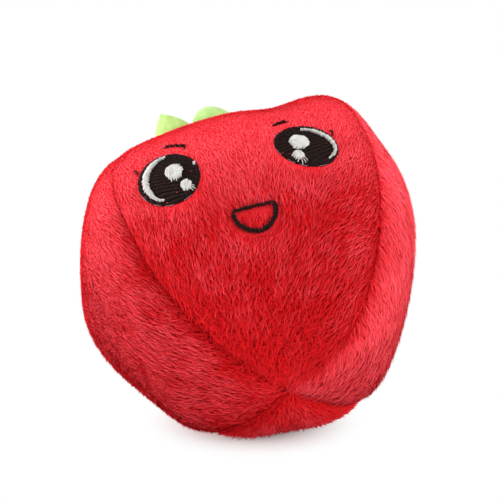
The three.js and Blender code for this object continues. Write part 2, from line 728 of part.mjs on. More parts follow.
// Pouch: two cloth halves round the squeaker, sewn together at a flat hem
const pouchHeight = squeakerFloorHeight + capTop / 2;
const pouchInner = squeakerRadius + clearance;
const pouchTop = squeakerFloorHeight + capTop + clearance - pouchHeight;
const pouchFloor = squeakerFloorHeight + plugFloor - reedPlugLip - clearance - pouchHeight;
const baseFloor = squeakerFloorHeight - clearance - pouchHeight;
const hemRadius = pouchInner + pouchHem;
const upperHollow = [
  [0, pouchTop], [squeakerRadius - capShoulder, pouchTop], [pouchInner, pouchTop - capShoulder],
];
const lowerHollow = [[0, pouchFloor], [neckRadius + clearance, pouchFloor], [pouchInner, baseFloor]];
const pouch = new THREE.Group();
pouch.position.z = pouchHeight;
toy.add(pouch);

function pouchHalf(hollow, way) {
  const grown = hollow.map(([r, z]) => [r === 0 ? 0 : r + pouchWall, z + way * pouchWall]);
  const near = way * seamGap / 2;
  const far = near + way * pouchWall;
  return lathe([
    ...hollow, [pouchInner, near], [hemRadius, near], [hemRadius, far], [pouchInner + pouchWall, far],
    ...grown.toReversed(),
  ]);
}
add('pouch_upper', pouchHalf(upperHollow, 1), pouchCloth(), pouch);
add('pouch_lower', pouchHalf(lowerHollow, -1), pouchCloth(), pouch);
const rimRadius = hemRadius + clearance + threadRadius;
const rimStitch = new THREE.TorusGeometry(rimRadius, threadRadius, threadSides, roundSegments);
add('pouch_stitch', rimStitch, whiteThread(), pouch);

// Stuffing: one filled form cut round the pouch, in two wads
const wadDepth = coverThickness + backingSheet + 2 * liningGap;
const foldRoom = allowanceEnd + liningGap;
const foldHalf = channel + allowanceThickness + 2 * liningGap;

function wadPoint(down, round, seam) {
  const away = Math.abs(round - seam) * ringRadius(down, seam) - foldHalf;
  const share = Math.min(1, Math.max(0, away / foldSlope));
  return bodyPoint(down, round, foldRoom + (wadDepth - foldRoom) * share);
}

// How far round from a seam the wad may slope, and where its open stretch has points, in gore spans
const wadShares = { inner: 0.2, outer: 0.36, open: [0.42, 0.58] };
const wadEndShares = { crown: 1.5, bottom: 0.5 };

function filling() {
  const crownEnd = crownStart * wadEndShares.crown;
  const downs = downSteps(crownEnd, bottomEnd - crownStart * wadEndShares.bottom, wadSteps);
  const rings = downs.map((down) => {
    const ring = [];
    for (let i = 0; i < goreCount; i++) {
      const seam = (i + 0.5) * goreSpan;
      const next = seam + goreSpan;
      const size = ringRadius(down, seam);
      const inner = Math.min(foldHalf / size, wadShares.inner * goreSpan);
      const outer = Math.min((foldHalf + foldSlope) / size, wadShares.outer * goreSpan);
      for (const turn of [0, inner, outer]) ring.push(wadPoint(down, seam + turn, seam));
      for (const share of wadShares.open) {
        ring.push(wadPoint(down, seam + share * goreSpan, share < 1 / 2 ? seam : next));
      }
      for (const turn of [outer, inner]) ring.push(wadPoint(down, next - turn, next));
    }
    return ring;
  });
  const positions = rings.flat().flatMap((p) => p.toArray());
  const n = rings[0].length;
  const last = positions.length / 3 - n;
  const indices = [];
  for (let i = 0; i < rings.length - 1; i++) {
    for (let j = 0; j < n; j++) {
      const k = (j + 1) % n;
      indices.push(i * n + j, i * n + k, (i + 1) * n + k, i * n + j, (i + 1) * n + k, (i + 1) * n + j);
    }
  }
  const top = positions.length / 3;
  positions.push(...bodyPoint(0, 0, foldRoom).toArray(), ...bodyPoint(Math.PI, 0, foldRoom).toArray());
  for (let j = 0; j < n; j++) {
    const k = (j + 1) % n;
    indices.push(top, k, j, top + 1, last + j, last + k);
  }
  return closedMesh(positions, indices);
}

const grownBy = (points, way) => points.map(([r, z]) => [
  r === 0 ? 0 : r + pouchWall + clearance, z + way * (pouchWall + clearance),
]);
const hemRoom = pouchWall + clearance + seamGap;
const rimRoom = rimRadius + threadRadius + clearance;
const sideRoom = pouchInner + pouchWall + clearance;
const pouchRoom = lathe([
  ...grownBy(upperHollow, 1), [sideRoom, hemRoom], [rimRoom, hemRoom],
  [rimRoom, -hemRoom], [sideRoom, -hemRoom], ...grownBy(lowerHollow, -1).toReversed(),
]);
pouchRoom.translate(0, 0, pouchHeight);
const wad = toManifold(filling()).subtract(toManifold(pouchRoom));
const halfSpace = 4 * bodyRadius;
for (const [name, way] of [['stuffing_upper', 1], ['stuffing_lower', -1]]) {
  const block = new THREE.BoxGeometry(halfSpace, halfSpace, halfSpace);
  block.translate(0, 0, pouchHeight + way * (halfSpace + seamGap) / 2);
  add(name, toGeometry(wad.intersect(toManifold(block))), fibreFill());
}

export default toy;
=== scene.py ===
import functools
import math

import bmesh
import bpy
import numpy as np
from mathutils import Matrix, Vector


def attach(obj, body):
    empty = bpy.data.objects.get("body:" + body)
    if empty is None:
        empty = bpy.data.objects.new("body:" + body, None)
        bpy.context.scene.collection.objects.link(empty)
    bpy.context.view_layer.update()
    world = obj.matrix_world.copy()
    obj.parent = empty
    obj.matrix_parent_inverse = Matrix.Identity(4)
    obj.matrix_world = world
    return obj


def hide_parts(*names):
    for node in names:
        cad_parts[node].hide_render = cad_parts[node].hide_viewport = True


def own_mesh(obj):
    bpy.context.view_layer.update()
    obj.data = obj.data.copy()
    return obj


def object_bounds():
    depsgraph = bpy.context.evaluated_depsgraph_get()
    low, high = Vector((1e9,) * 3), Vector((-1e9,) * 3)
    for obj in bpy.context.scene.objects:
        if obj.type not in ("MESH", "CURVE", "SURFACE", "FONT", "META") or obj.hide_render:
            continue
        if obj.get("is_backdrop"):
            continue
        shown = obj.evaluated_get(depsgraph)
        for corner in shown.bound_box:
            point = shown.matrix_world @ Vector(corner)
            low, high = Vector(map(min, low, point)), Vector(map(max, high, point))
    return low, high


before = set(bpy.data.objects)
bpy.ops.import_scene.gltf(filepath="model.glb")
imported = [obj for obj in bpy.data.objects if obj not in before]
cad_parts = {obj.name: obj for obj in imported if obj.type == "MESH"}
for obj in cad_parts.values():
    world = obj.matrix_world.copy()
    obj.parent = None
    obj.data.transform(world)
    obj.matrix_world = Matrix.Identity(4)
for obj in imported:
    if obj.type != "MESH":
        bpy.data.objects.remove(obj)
cadLow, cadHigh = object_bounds()

mm = 0.001
half = 0.5
white = (1, 1, 1, 1)
uvName = "OFBake"  # name of the map that the plush's colours are read from; the export keeps a map of this name


# Nodes, meshes and materials

def firstOutput(source):
    return source if isinstance(source, bpy.types.NodeSocket) else next(
        s for s in source.outputs if s.enabled)


# Adds a node with its settings. Inputs are a list, for the sockets in use in their order, or a
# dictionary by identifier. Each is a value, a socket, or a node, which gives its first output.
def addNode(tree, kind, inputs=(), **settings):
    node = tree.nodes.new(kind)
    for name, value in settings.items():
        setattr(node, name, value)
    sockets = {s.identifier: s for s in node.inputs if s.enabled}
    if not isinstance(inputs, dict):
        inputs = dict(zip(sockets, inputs))
    for identifier, value in inputs.items():
        if isinstance(value, (bpy.types.Node, bpy.types.NodeSocket)):
            tree.links.new(firstOutput(value), sockets[identifier])
        elif value is not None:
            sockets[identifier].default_value = value
    return node


def linear(hexColour):
    parts = [int(hexColour[i:i + 2], 16) / 255 for i in (1, 3, 5)]
    return tuple(c / 12.92 if c <= 0.04045 else ((c + 0.055) / 1.055) ** 2.4 for c in parts) + (1,)


# A geometry tree that asks for sizes, counts and a finish by name
def newTree(name, sizes, counts=()):
    tree = bpy.data.node_groups.new(name, "GeometryNodeTree")
    asks = {"Geometry": "Geometry", **dict.fromkeys(sizes, "Float"), **dict.fromkeys(counts, "Int"),
            "finish": "Material"}
    for label, kind in asks.items():
        tree.interface.new_socket(label, in_out="INPUT", socket_type="NodeSocket" + kind)
    tree.interface.new_socket("Geometry", in_out="OUTPUT", socket_type="NodeSocketGeometry")
    add = functools.partial(addNode, tree)
    return tree, add, {s.name: s for s in add("NodeGroupInput").outputs if s.name}


def endTree(add, geometry, given):
    real = add("GeometryNodeRealizeInstances", [geometry])
    add("NodeGroupOutput", [add("GeometryNodeSetMaterial", [real, None, given["finish"]])])


# Runs a tree on a piece and keeps the plain mesh that it makes
def runTree(piece, tree, values):
    modifier = piece.modifiers.new(tree.name, "NODES")
    modifier.node_group = tree
    for item in tree.interface.items_tree:
        if item.in_out == "INPUT" and item.name in values:
            modifier[item.identifier] = values[item.name]
    keepModified(piece)
    return piece


def keepModified(piece):
    graph = bpy.context.evaluated_depsgraph_get()
    made = bpy.data.meshes.new_from_object(
        piece.evaluated_get(graph), preserve_all_data_layers=True, depsgraph=graph)
    piece.modifiers.clear()
    old, piece.data = piece.data, made
    bpy.data.meshes.remove(old)


# A mesh object from points in millimetres, with faces or loose edges
def newPiece(name, points, faces=(), edges=(), material=None):
    mesh = bpy.data.meshes.new(name)
    mesh.from_pydata((np.asarray(points, float) * mm).tolist(), list(edges), list(faces))
    mesh.update()
    if material:
        mesh.materials.append(material)
    mesh.shade_smooth()
    piece = bpy.data.objects.new(name, mesh)
    bpy.context.scene.collection.objects.link(piece)
    return piece


# Faces of a closed tube: rows of n points, and a flat face at each end
def tubeFaces(rows, n):
    index = np.arange(rows * n).reshape(rows, n)
    after = np.roll(index, -1, 1)
    quads = np.stack([index[:-1], index[1:], after[1:], after[:-1]], -1).reshape(-1, 4)
    return [*quads.tolist(), index[0].tolist(), index[-1][::-1].tolist()]


def recalculate(piece):
    shape = bmesh.new()
    shape.from_mesh(piece.data)
    bmesh.ops.recalc_face_normals(shape, faces=shape.faces)
    if shape.calc_volume(signed=True) < 0:
        bmesh.ops.reverse_faces(shape, faces=shape.faces)
    shape.to_mesh(piece.data)
    shape.free()


# A piece turned about an axis, from a profile of radius and height
def turned(name, profile, slotName, segments=64, placed=None):
    onAxis = profile[0][0] == 0
    turns = np.linspace(0, 2 * math.pi, segments, endpoint=False)
    points, rings = [], []
    for radius, height in profile:
        start = len(points)
        rings.append([start] * segments if radius == 0 else list(range(start, start + segments)))
        points += [(0, 0, height)] if radius == 0 else [
            (radius * math.cos(t), radius * math.sin(t), height) for t in turns]
    faces = []
    for low, high in list(zip(rings[:-1], rings[1:])) + ([] if onAxis else [(rings[-1], rings[0])]):
        for i in range(segments):
            j = (i + 1) % segments
            face = list(dict.fromkeys([low[i], low[j], high[j], high[i]]))
            if len(face) > 2:
                faces.append(face)
    points = np.array(points, float)
    piece = newPiece(name, placed(points) if placed else points, faces, material=finishes[slotName])
    recalculate(piece)
    return piece


def joinPieces(name, pieces):
    meshes = [p.data for p in pieces]
    with bpy.context.temp_override(active_object=pieces[0], object=pieces[0],
                                   selected_objects=pieces, selected_editable_objects=pieces):
        bpy.ops.object.join()
    for mesh in meshes[1:]:
        bpy.data.meshes.remove(mesh)
    pieces[0].name = name
    return pieces[0]


# Puts a finished piece on its body and hides the frame's part that it stands for; a piece of the
# cover gets a mesh of its own
def softPiece(piece, node, bodyName="cover"):
    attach(piece, bodyName)
    if bodyName == "cover":
        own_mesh(piece)
    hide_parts(node)
    return piece


def newMaterial(name, roughness, **shaderValues):
    material = bpy.data.materials.new(name)
    material.use_nodes = True
    shader = material.node_tree.nodes["Principled BSDF"]
    shader.inputs["Roughness"].default_value = roughness
    for label, value in shaderValues.items():
        shader.inputs[label.replace("_", " ")].default_value = value
    return material, functools.partial(addNode, material.node_tree), shader


def feed(node, label, source):
    node.id_data.links.new(firstOutput(source), node.inputs[label])


# Finishes

# Short polyester plush, knitted and brushed: darker at the roots as painted shade between the
# tufts, lighter and pinker at the tips as a painted sheen
def makePlush():
    looks = {
        "deep": ("#BC0309", "#C6050B", "#DA0B13"), "pale": ("#FF3642", "#FF505E", "#FF7682"),
        "bodyAt": 0.55, "roughness": 0.85, "sheen": 0.12, "sheenRoughness": 0.4,
        "sheenTint": "#FF4C5C", "shine": 0.1,
    }
    material, add, shader = newMaterial(
        "brushedPlush", looks["roughness"], Sheen_Weight=looks["sheen"],
        Sheen_Roughness=looks["sheenRoughness"], Sheen_Tint=linear(looks["sheenTint"]),
        Specular_IOR_Level=looks["shine"])
    # the piece's map holds each tuft's tone across and the way from root to tip up
    tone, along, _ = add("ShaderNodeSeparateXYZ", [add("ShaderNodeUVMap", uv_map=uvName)]).outputs
    ramps = []
    for label in ("deep", "pale"):
        ramp = add("ShaderNodeValToRGB", [along])
        stops = ramp.color_ramp.elements
        root, middle, tip = (linear(c) for c in looks[label])
        stops[0].color, stops[1].color = root, tip
        stops.new(looks["bodyAt"]).color = middle
        ramps.append(ramp)
    # the tuft's tone mixes the ramps: chance, plus painted light and shade from the pile's tree
    feed(shader, "Base Color", add("ShaderNodeMix", [tone, *ramps], data_type="RGBA"))
    return material


threadGrain = {"clouds": (2.0, 0.5), "fine": (1.0, 0.5), "rampFrom": 0.3, "bump": 0.35}
clothGrain = {"clouds": (5.0, 0.6), "fine": (4.0, 0.7), "rampFrom": 0.32, "bump": 0.6}


# Colour clouds of one size and a fine surface of another; grain has the detail and the roughness
# of each pattern
def makeFinish(name, dark, light, cloudSize, fineSize, fineHeight, roughness, grain=clothGrain,
               **shaderValues):
    material, add, shader = newMaterial(name, roughness, **shaderValues)
    place = add("ShaderNodeTexCoord").outputs["Object"]
    clouds, fine = (add("ShaderNodeTexNoise", [place, 1 / (size * mm), *grain[label]])
                    for label, size in (("clouds", cloudSize), ("fine", fineSize)))
    ramp = add("ShaderNodeValToRGB", [clouds])
    low, high = ramp.color_ramp.elements
    low.position, high.position = grain["rampFrom"], 1 - grain["rampFrom"]
    low.color, high.color = linear(dark), linear(light)
    feed(shader, "Base Color", ramp)
    feed(shader, "Normal", add("ShaderNodeBump", {
        "Strength": grain["bump"], "Distance": fineHeight * mm, "Height": fine}))
    return material


# Thread shows its fibres as ridges 0.12 mm apart, coarser than they are, so that they show at all
def makeThread(name, dark, light, roughness=0.55, shine=0.3, fleckSize=0.9):
    return makeFinish(name, dark, light, fleckSize, 0.12, 0.05, roughness, threadGrain,
                      Specular_IOR_Level=shine)


finishes = {
    "red_plush": makePlush(),
    # spun polyester sewing thread: dull, a shade darker than the plush round it
    "red_thread": makeThread("sewingThreadRed", "#8C0E18", "#C01A28"),
    # filament rayon, satin-stitched: each strand a shade of its own, the black one nearly dull
    "black_thread": makeThread("rayonThreadBlack", "#070303", "#261310", shine=0.08, fleckSize=0.4),
    # the white thread is coloured light grey: painted shade for the shade among its stitches
    "white_thread": makeThread("rayonThreadWhite", "#B0ADA9", "#CCCAC6", 0.42),
    # pressed felt: matt and mottled, with loose fibres that catch the light at its edge
    "green_felt": makeFinish("pressedFelt", "#82AA4F", "#9CC36F", 3.5, 0.35, 0.12, 0.9,
                             Sheen_Weight=0.4, Sheen_Roughness=0.5),
    "green_thread": makeThread("sewingThreadGreen", "#7DB044", "#9CD05C"),
    # non-woven sheet, loose filling and plain woven cloth: off-white and matt
    "backing_sheet": makeFinish("nonWovenSheet", "#E3DFD8", "#F3F0EA", 1.5, 0.3, 0.08, 0.9),
    "fibre_fill": makeFinish("polyesterFill", "#E9E6DF", "#FAF9F5", 4, 0.5, 0.5, 1.0),
    "pouch_cloth": makeFinish("cottonMuslin", "#DDD8CD", "#EFEBE2", 2, 0.4, 0.1, 0.95),
    # soft blow-moulded wall: satin, hardly any grain
    "squeaker_plastic": makeFinish("blowMouldedPolyethylene", "#EFEFE8", "#F7F7F2", 8, 0.8, 0.02,
                                   0.42),
    # hard moulded plastic, smoother than the squeaker round it
    "reed_plastic": makeFinish("mouldedPolystyrene", "#D2D5DA", "#DDE0E4", 4, 0.5, 0.01, 0.35),
    # thin rolled strip: bright, with a soft reflection
    "reed_metal": makeFinish("rolledBrass", "#BE9840", "#D0AC58", 2, 0.2, 0.01, 0.32, Metallic=1.0),
}
print("finishes made:", len(finishes))


# Form of the stuffed body, as the frame has it

body = {
    "radius": 50, "centreHeight": 43.5, "leanBack": 52.5, "roll": 16, "turn": -1,
    "settleBlend": 2, "goreCount": 4,
    # radius of a gore's middle, crown to bottom at even angles, as shares of the radius
    "profile": [0.695, 0.745, 0.865, 0.98, 1.04, 1.034, 0.99, 0.948, 0.918, 0.896, 0.87, 0.845,
                0.834],
    # how much further out a seam stands there
    "corner": [0, 0.02, 0.06, 0.105, 0.115, 0.09, 0.065, 0.055, 0.06, 0.065, 0.05, 0.02, 0],
    # uneven stuffing: degrees down, degrees round, spread in degrees, height share
    "lumps": [(56, 46, 17, 0.075), (51, 24, 11, -0.04), (50, 6, 12, 0.03), (52, -26, 12, -0.025),
              (92, 45, 24, 0.035), (138, -45, 25, -0.085), (138, 172, 26, 0.05),
              (138, 128, 18, 0.03), (66, 54, 12, -0.04), (90, 72, 16, 0.016),
              (138, 137, 16, -0.022), (84, -105, 15, 0.024), (112, -121, 15, -0.03),
              (52, -38, 10, -0.018), (62, -66, 14, -0.012), (51, -12, 12, 0.018)],
}
bodyTurn = (Matrix.Rotation(math.radians(body["turn"]), 3, "Z")
            @ Matrix.Rotation(math.radians(-body["leanBack"]), 3, "X")
            @ Matrix.Rotation(math.radians(-body["roll"]), 3, "Y"))
bodyAxes = np.array(bodyTurn)
goreSpan = 2 * math.pi / body["goreCount"]


def evenCurve(shares, t):
    values = np.array([shares[1], *shares, shares[-2]])
    x = np.asarray(t) * (len(shares) - 1)
    i = np.clip(np.floor(x).astype(int), 0, len(shares) - 2)
    f = x - i
    p, q, r, s = (values[i + k] for k in range(4))
    return q + f / 2 * (r - p + f * (2 * p - 5 * q + 4 * r - s + f * (3 * (q - r) + s - p)))


# Angle between directions of the body, given down from the crown and round from the face
def angleBetween(down, around, otherDown, otherAround):
    cosine = (np.cos(down) * math.cos(otherDown)
              + np.sin(down) * math.sin(otherDown) * np.cos(around - otherAround))
    return np.arccos(np.clip(cosine, -1, 1))


def bodyReach(down, around):
    along, atSeam = down / math.pi, (1 - np.cos(body["goreCount"] * around)) / 2
    share = evenCurve(body["profile"], along) + atSeam * evenCurve(body["corner"], along)
    for lumpDown, lumpAround, spread, height in body["lumps"]:
        away = angleBetween(down, around, math.radians(lumpDown), math.radians(lumpAround))
        share = share + height * np.exp(-(away / math.radians(spread)) ** 2)
    return body["radius"] * share


def crownPoint(local):
    return np.asarray(local, float) @ bodyAxes.T + (0, 0, body["centreHeight"])


# Points of the body at angles down from the crown and round from the face, at a depth; it is
# pressed flat where it meets the floor
def bodyPoint(down, around, depth):
    down, around, depth = np.broadcast_arrays(down, around, depth)
    reach = bodyReach(down, around) - depth
    out = reach * np.sin(down)
    points = crownPoint(np.stack([out * np.sin(around), -out * np.cos(around),
                                  reach * np.cos(down)], -1))
    level, blend = np.maximum(0, depth), body["settleBlend"]
    above = points[..., 2] - level
    pressed = level + np.clip(above + blend, 0, None) ** 2 / (4 * blend)
    points[..., 2] = np.where(above >= blend, points[..., 2], pressed)
    return points


# Stitched face: places, sizes and the outlines that both the thread and the pile follow

face = {
    "turn": -2.1, "pileSink": 0.9, "padThickness": 1, "raised": 0.35, "clearance": 0.3,
    "mouth": {"down": 99.6, "width": 13, "height": 7.6, "drop": 0.9, "top": 0.08, "stitch": 1.5,
              # the line is broader below than along its top, which begins at topFrom of its run
              "low": 1.25, "swell": 0.3, "topLine": 0.8, "topFrom": 0.62, "slant": 0.35},
    "rimOver": 0.35, "mouthClear": 0.6, "mouthRise": 0.45, "crescentEnd": 0.3, "lidSize": 1.4,
    "lidLine": 0.3, "lashStart": 0.3, "lashLength": 2.3, "markRise": 0.25,
    # degrees down, round and of tilt, then width and height; marks go round an eye from its right
    # end, anticlockwise, and a glint has its place right and up and its size. Frayed is the way
    # that each loose end under the small glint points, and its length; ticks are small stitches
    # beside the patch, and lidEnds small ones that lead on from the lid.
    "left_eye": {"at": (80.1, -25.3, -19), "size": (17.6, 16.4), "crescent": (103, 261),
                 "crescentSize": (0.72, 0.84), "crescentWidth": 1.8, "lid": (74, 128),
                 "lidShown": (0, 7), "lash": 164, "lashWay": 110, "fillWay": -0.3,
                 "glint_large": (0.24, 0.14, 0.27), "glint_small": (0.46, -0.49, 0.17),
                 "frayed": [(-32, 1.7), (-48, 2.1), (-64, 2.0), (-98, 1.4)],
                 "ticks": [0, 0.35], "lidEnds": [(-0.5, -1.8)]},
    "right_eye": {"at": (80.2, 20.8, -24), "size": (17.9, 13.8), "crescent": (-33, 108),
                  "crescentSize": (0.87, 0.72), "crescentWidth": 1.0, "lid": (92, 142),
                  "lidShown": (7, 13), "lash": 46, "lashWay": 88, "fillWay": 0.3,
                  "glint_large": (-0.18, 0.16, 0.3), "glint_small": (-0.33, -0.45, 0.17),
                  "frayed": [(-48, 2.2), (-66, 2.5), (-84, 2.4), (-112, 1.8)],
                 "ticks": [], "lidEnds": []},
}


def facePoint(place, right, up, depth):
    down = place[0] - np.asarray(up) / body["radius"]
    around = place[1] + np.asarray(right) / (body["radius"] * math.sin(place[0]))
    return bodyPoint(down, around, depth)


def turnedFlat(x, y, tilt):
    cosine, sine = math.cos(tilt), math.sin(tilt)
    return np.stack([x * cosine - y * sine, x * sine + y * cosine], -1)


def ellipseAt(halfWidth, halfHeight, tilt, turn):
    return turnedFlat(halfWidth * np.cos(turn), halfHeight * np.sin(turn), tilt)


def makeEye(marks):
    down, around, tilt = (math.radians(x) for x in marks["at"])
    halfWidth, halfHeight = (x / 2 for x in marks["size"])
    lid = ellipseAt(halfWidth * face["lidSize"], halfHeight * face["lidSize"], tilt,
                    np.radians(np.linspace(*marks["lid"], 13)))
    rim = ellipseAt(halfWidth, halfHeight, tilt, math.radians(marks["lash"]))
    way = math.radians(marks["lashWay"])
    run = np.linspace(0, face["lashLength"], 5)[:, None]
    lash = rim * (1 + face["lashStart"] / np.hypot(*rim)) + run * (math.cos(way), math.sin(way))
    return {**marks, "place": (down, around), "tilt": tilt, "halfWidth": halfWidth,
            "halfHeight": halfHeight, "lidLine": lid, "lashLine": lash,
            "lidAbove": lid[slice(*marks["lidShown"])]}


def makeMouth(size):
    low = ellipseAt(size["width"] / 2, size["height"] * size["drop"], 0,
                    np.radians(np.linspace(180, 360, 61)))
    x = np.linspace(1, -1, 31)[1:-1] * size["width"] / 2
    top = np.stack([x, np.full_like(x, size["height"] * size["top"])], -1)
    return {"place": (math.radians(size["down"]), math.radians(face["turn"])),
            "line": np.concatenate([low, top, low[:1]])}


eyes = {name: makeEye(face[name]) for name in ("left_eye", "right_eye")}
mouth = makeMouth(face["mouth"])


# Distance in millimetres from the edges of the face's thread, below zero inside
def bareDistance(down, around):
    def flat(place):
        right = (around - place[1]) * body["radius"] * math.sin(place[0])
        return np.stack([right, (place[0] - down) * body["radius"]], -1)

    def fromLine(points, line, halfWidth):
        a, b = line[:-1], line[1:]
        ab = b - a
        t = ((points[:, None] - a) * ab).sum(-1) / (ab ** 2).sum(-1)
        near = a + np.clip(t, 0, 1)[..., None] * ab
        return np.linalg.norm(points[:, None] - near, axis=-1).min(1) - halfWidth

    shape = around.shape
    down, around = down.ravel(), around.ravel()
    found = [fromLine(flat(mouth["place"]), mouth["line"],
                      face["mouth"]["stitch"] / 2 + face["mouthClear"])]
    for eye in eyes.values():
        points = flat(eye["place"])
        x, y = turnedFlat(points[:, 0], points[:, 1], -eye["tilt"]).T
        share = np.hypot(x / eye["halfWidth"], y / eye["halfHeight"])
        found.append((share - 1) * eye["halfHeight"] + face["rimOver"])
        found += [fromLine(points, eye[line], face["lidLine"] / 2)
                  for line in ("lidAbove", "lashLine")]
    return np.min(found, 0).reshape(shape)


# Plush cover: four gores of knitted cloth with their allowances turned in, and the pile on them

cover = {
    "rows": 110, "columns": 66, "crowding": 0.4, "thickness": 3.2, "fill": 0.8,
    # depth of the cloth below the form, which is where the tips of the pile lie
    "tipDepth": 0.2, "pileHeight": 1.1, "faceDepth": 1.4, "faceEase": 2.5,
    "seamDrop": 1.9, "dipWidth": 3, "dipFade": 0.02, "clothGap": 0.06, "channel": 0.65,
    "fold": 4.3, "allowance": 1.3, "allowanceReach": 4.4, "allowanceRoom": 0.8,
    "insideReach": 0.86, "insideColumns": 15, "opening": 3, "bottomOpening": 1.4,
    # how far the seams are drawn in: front right, back right, back left, front left
    "drawnIn": (0.5, 1, 1, 1.1),
    # share of that, and length of the pile against the longest, by degrees down: near the crown
    # the seams are flatter and the pile is brushed short
    "dip": ((46, 0.2), (90, 1)),
    "trim": ((20, 0.45), (68, 0.45), (86, 0.8), (100, 1), (180, 1)),
}
# The way that each gore's pile lies, at places on it: degrees down, degrees round, and the heading
# in degrees, where 0 points to the right round the body and 90 to the crown
napPlaces = {
    "front_panel": [(66, 24, -106), (75, -12, -82), (76, -41, -72), (94, -12, -82),
                    (98, -33, -102), (97, 18, -96), (98, 30, -140), (111, 31, -150),
                    (114, -6, -104), (114, 12, -118), (125, 23, -125), (122, -32, -100),
                    (131, -12, -112), (138, 33, -117), (151, 0, -104)],
    "right_panel": [(74, 45, -55), (97, 51, -42), (116, 54, -47), (135, 65, -40), (146, 98, -73)],
    "back_panel": [(60, 180, 80), (120, 200, 95), (161, 180, 98)],
    "left_panel": [(84, -52, -63), (98, -64, -56), (120, -66, -59), (143, -74, -70),
                   (163, -89, -74)],
}
pile = {
    # the tree asks for these sizes in millimetres and for the shares by name; bare cloth beside
    # the thread is measured in millimetres too
    "sizes": {"spacing": 0.42, "length": 3.8, "width": 0.44, "reach": 3.496, "rise": 1.596,
              "droop": -0.6384, "sway": 0.3, "waveSize": 4.0, "curlSize": 2.6, "toneSize": 7.0},
    "shares": {"fullness": 4.0, "bend": 1.2, "wave": 0.7, "curlWave": 3.0, "scatter": 0.22,
               "lift": 0.12, "bareRoom": 0.06, "bareEase": 1.6, "shortest": 0.4, "narrowest": 0.8,
               "stray": 0.014, "clouds": 0.8, "softness": 0.4},
    "mostPerArea": 7.0, "kinds": 4, "turnsAlong": 5.5, "kindsApart": 1.6, "seed": 11,
    "messy": 3.0, "napEase": 5, "napPower": 1.5,
    # size of the stubs that come through the thread: lengthwise, across and up
    "stub": (0.28, 0.7, 0.9), "sideTone": 0.003, "toneLimits": (0.02, 0.97), "seamShort": 0.2,
    # least and most that chance gives each tuft, in the order of their seeds
    "chance": {"apart": ((-1, -1, -1), (1, 1, 1)), "tilt": ((-1, -1, -1), (1, 1, 1)),
               "size": (0.72, 1.15), "stray": (0.0, 1.0), "tone": (-0.44, -0.08), "kind": (0, 3)},
    # painted light and shade on the pile, as a shift of its tone: lighter for painted sheen by the
    # way that each gore's pile lies and for a painted highlight where it is short near the crown;
    # darker for painted shade where it curls and down in a seam
    "paler": {"front_panel": 0.0, "right_panel": 0.36, "back_panel": 0.12, "left_panel": 0.16,
              "short": 1.4, "curled": -0.2, "paintedSeamShade": -0.5},
    # where it curls: degrees down, degrees round, spread in degrees, amount
    "curls": [(154, -26, 18, 1.2), (138, -36, 12, 1.1), (128, -38, 12, 0.8), (148, 0, 22, 0.8),
              (128, -8, 15, 0.5), (160, 60, 25, 0.4), (163, -120, 25, 0.5)],
    # the cloth's own corner of the pile's map: tone and size
    "clothTone": 0.4, "clothCorner": 0.03,
}
crownStart = math.asin(cover["opening"] / (body["radius"] * body["profile"][0]))
bottomEnd = math.pi - math.asin(cover["bottomOpening"] / (body["radius"] * body["profile"][-1]))


def byDown(table, down):
    return np.interp(np.degrees(down), *zip(*table))


def unit(ways):
    return ways / np.linalg.norm(ways, axis=-1, keepdims=True)


def napHeading(places, down, around):
    total = np.zeros(down.shape + (2,))
    for placeDown, placeAround, heading in places:
        away = angleBetween(down, around, math.radians(placeDown), math.radians(placeAround))
        weight = 1 / (away ** 2 + math.radians(pile["napEase"]) ** 2) ** pile["napPower"]
        angle = math.radians(heading)
        total += weight[..., None] * (math.cos(angle), math.sin(angle))
    return unit(total)


def seamShare(down, around, seamAround):
    arc = np.abs(around - seamAround) * bodyReach(down, seamAround) * np.sin(down)
    share = np.exp(-arc / cover["dipWidth"])
    drawn = cover["drawnIn"][int(seamAround / goreSpan % body["goreCount"])]
    return drawn * np.maximum(0, share - cover["dipFade"]) / (1 - cover["dipFade"])


# Angles round and depths of a gore's section at each row, the outside first, then the inside with
# the allowances that stand in from both edges; and how far the seams draw the outside in
def goreSections(downs, middle):
    def beside(seamAround):
        ring = bodyReach(downs, seamAround) * np.sin(downs)
        ends = cover["clothGap"] / 2, cover["channel"], cover["channel"] + cover["allowance"]
        fit = np.minimum(1, cover["allowanceRoom"] * goreSpan / 2 / (ends[-1] / ring)) / ring
        return [x * fit for x in ends]

    left, right = middle - goreSpan / 2, middle + goreSpan / 2
    (gapL, channelL, foldL), (gapR, channelR, foldR) = beside(left), beside(right)
    even = np.linspace(-1, 1, cover["columns"])
    shares = (1 - cover["crowding"]) * even + cover["crowding"] * np.sin(even * math.pi / 2)
    around = middle + shares * (goreSpan / 2 - np.where(shares < 0, gapL[:, None], gapR[:, None]))
    deep = np.maximum(*(seamShare(downs[:, None], around, edge) for edge in (left, right)))
    deep *= byDown(cover["dip"], downs)[:, None]
    cloth = (cover["tipDepth"] + cover["pileHeight"] * byDown(cover["trim"], downs)[:, None]
             + cover["seamDrop"] * deep)
    if middle == 0:
        bare = bareDistance(np.broadcast_to(downs[:, None], around.shape), around)
        near = np.clip(1 - bare / cover["faceEase"], 0, 1)
        cloth += near * np.maximum(0, cover["faceDepth"] - cloth)

    fold, inner = cover["fold"], cover["thickness"]
    end = inner + cover["allowanceReach"]
    reach = cover["insideReach"]
    columns = [
        *zip(around.T, cloth.T),
        (right - gapR, fold), (right - channelR, fold), (right - channelR, end),
        (right - foldR, end), (right - foldR, inner),
        *((middle + share * (goreSpan / 2 - (foldL if share < 0 else foldR)), inner)
          for share in np.linspace(reach, -reach, cover["insideColumns"])),
        (left + foldL, inner), (left + foldL, end), (left + channelL, end),
        (left + channelL, fold), (left + gapL, fold)]
    angles, depths = (np.stack([np.broadcast_to(x, downs.shape) for x in line], 1)
                      for line in zip(*columns))
    return angles, depths, deep


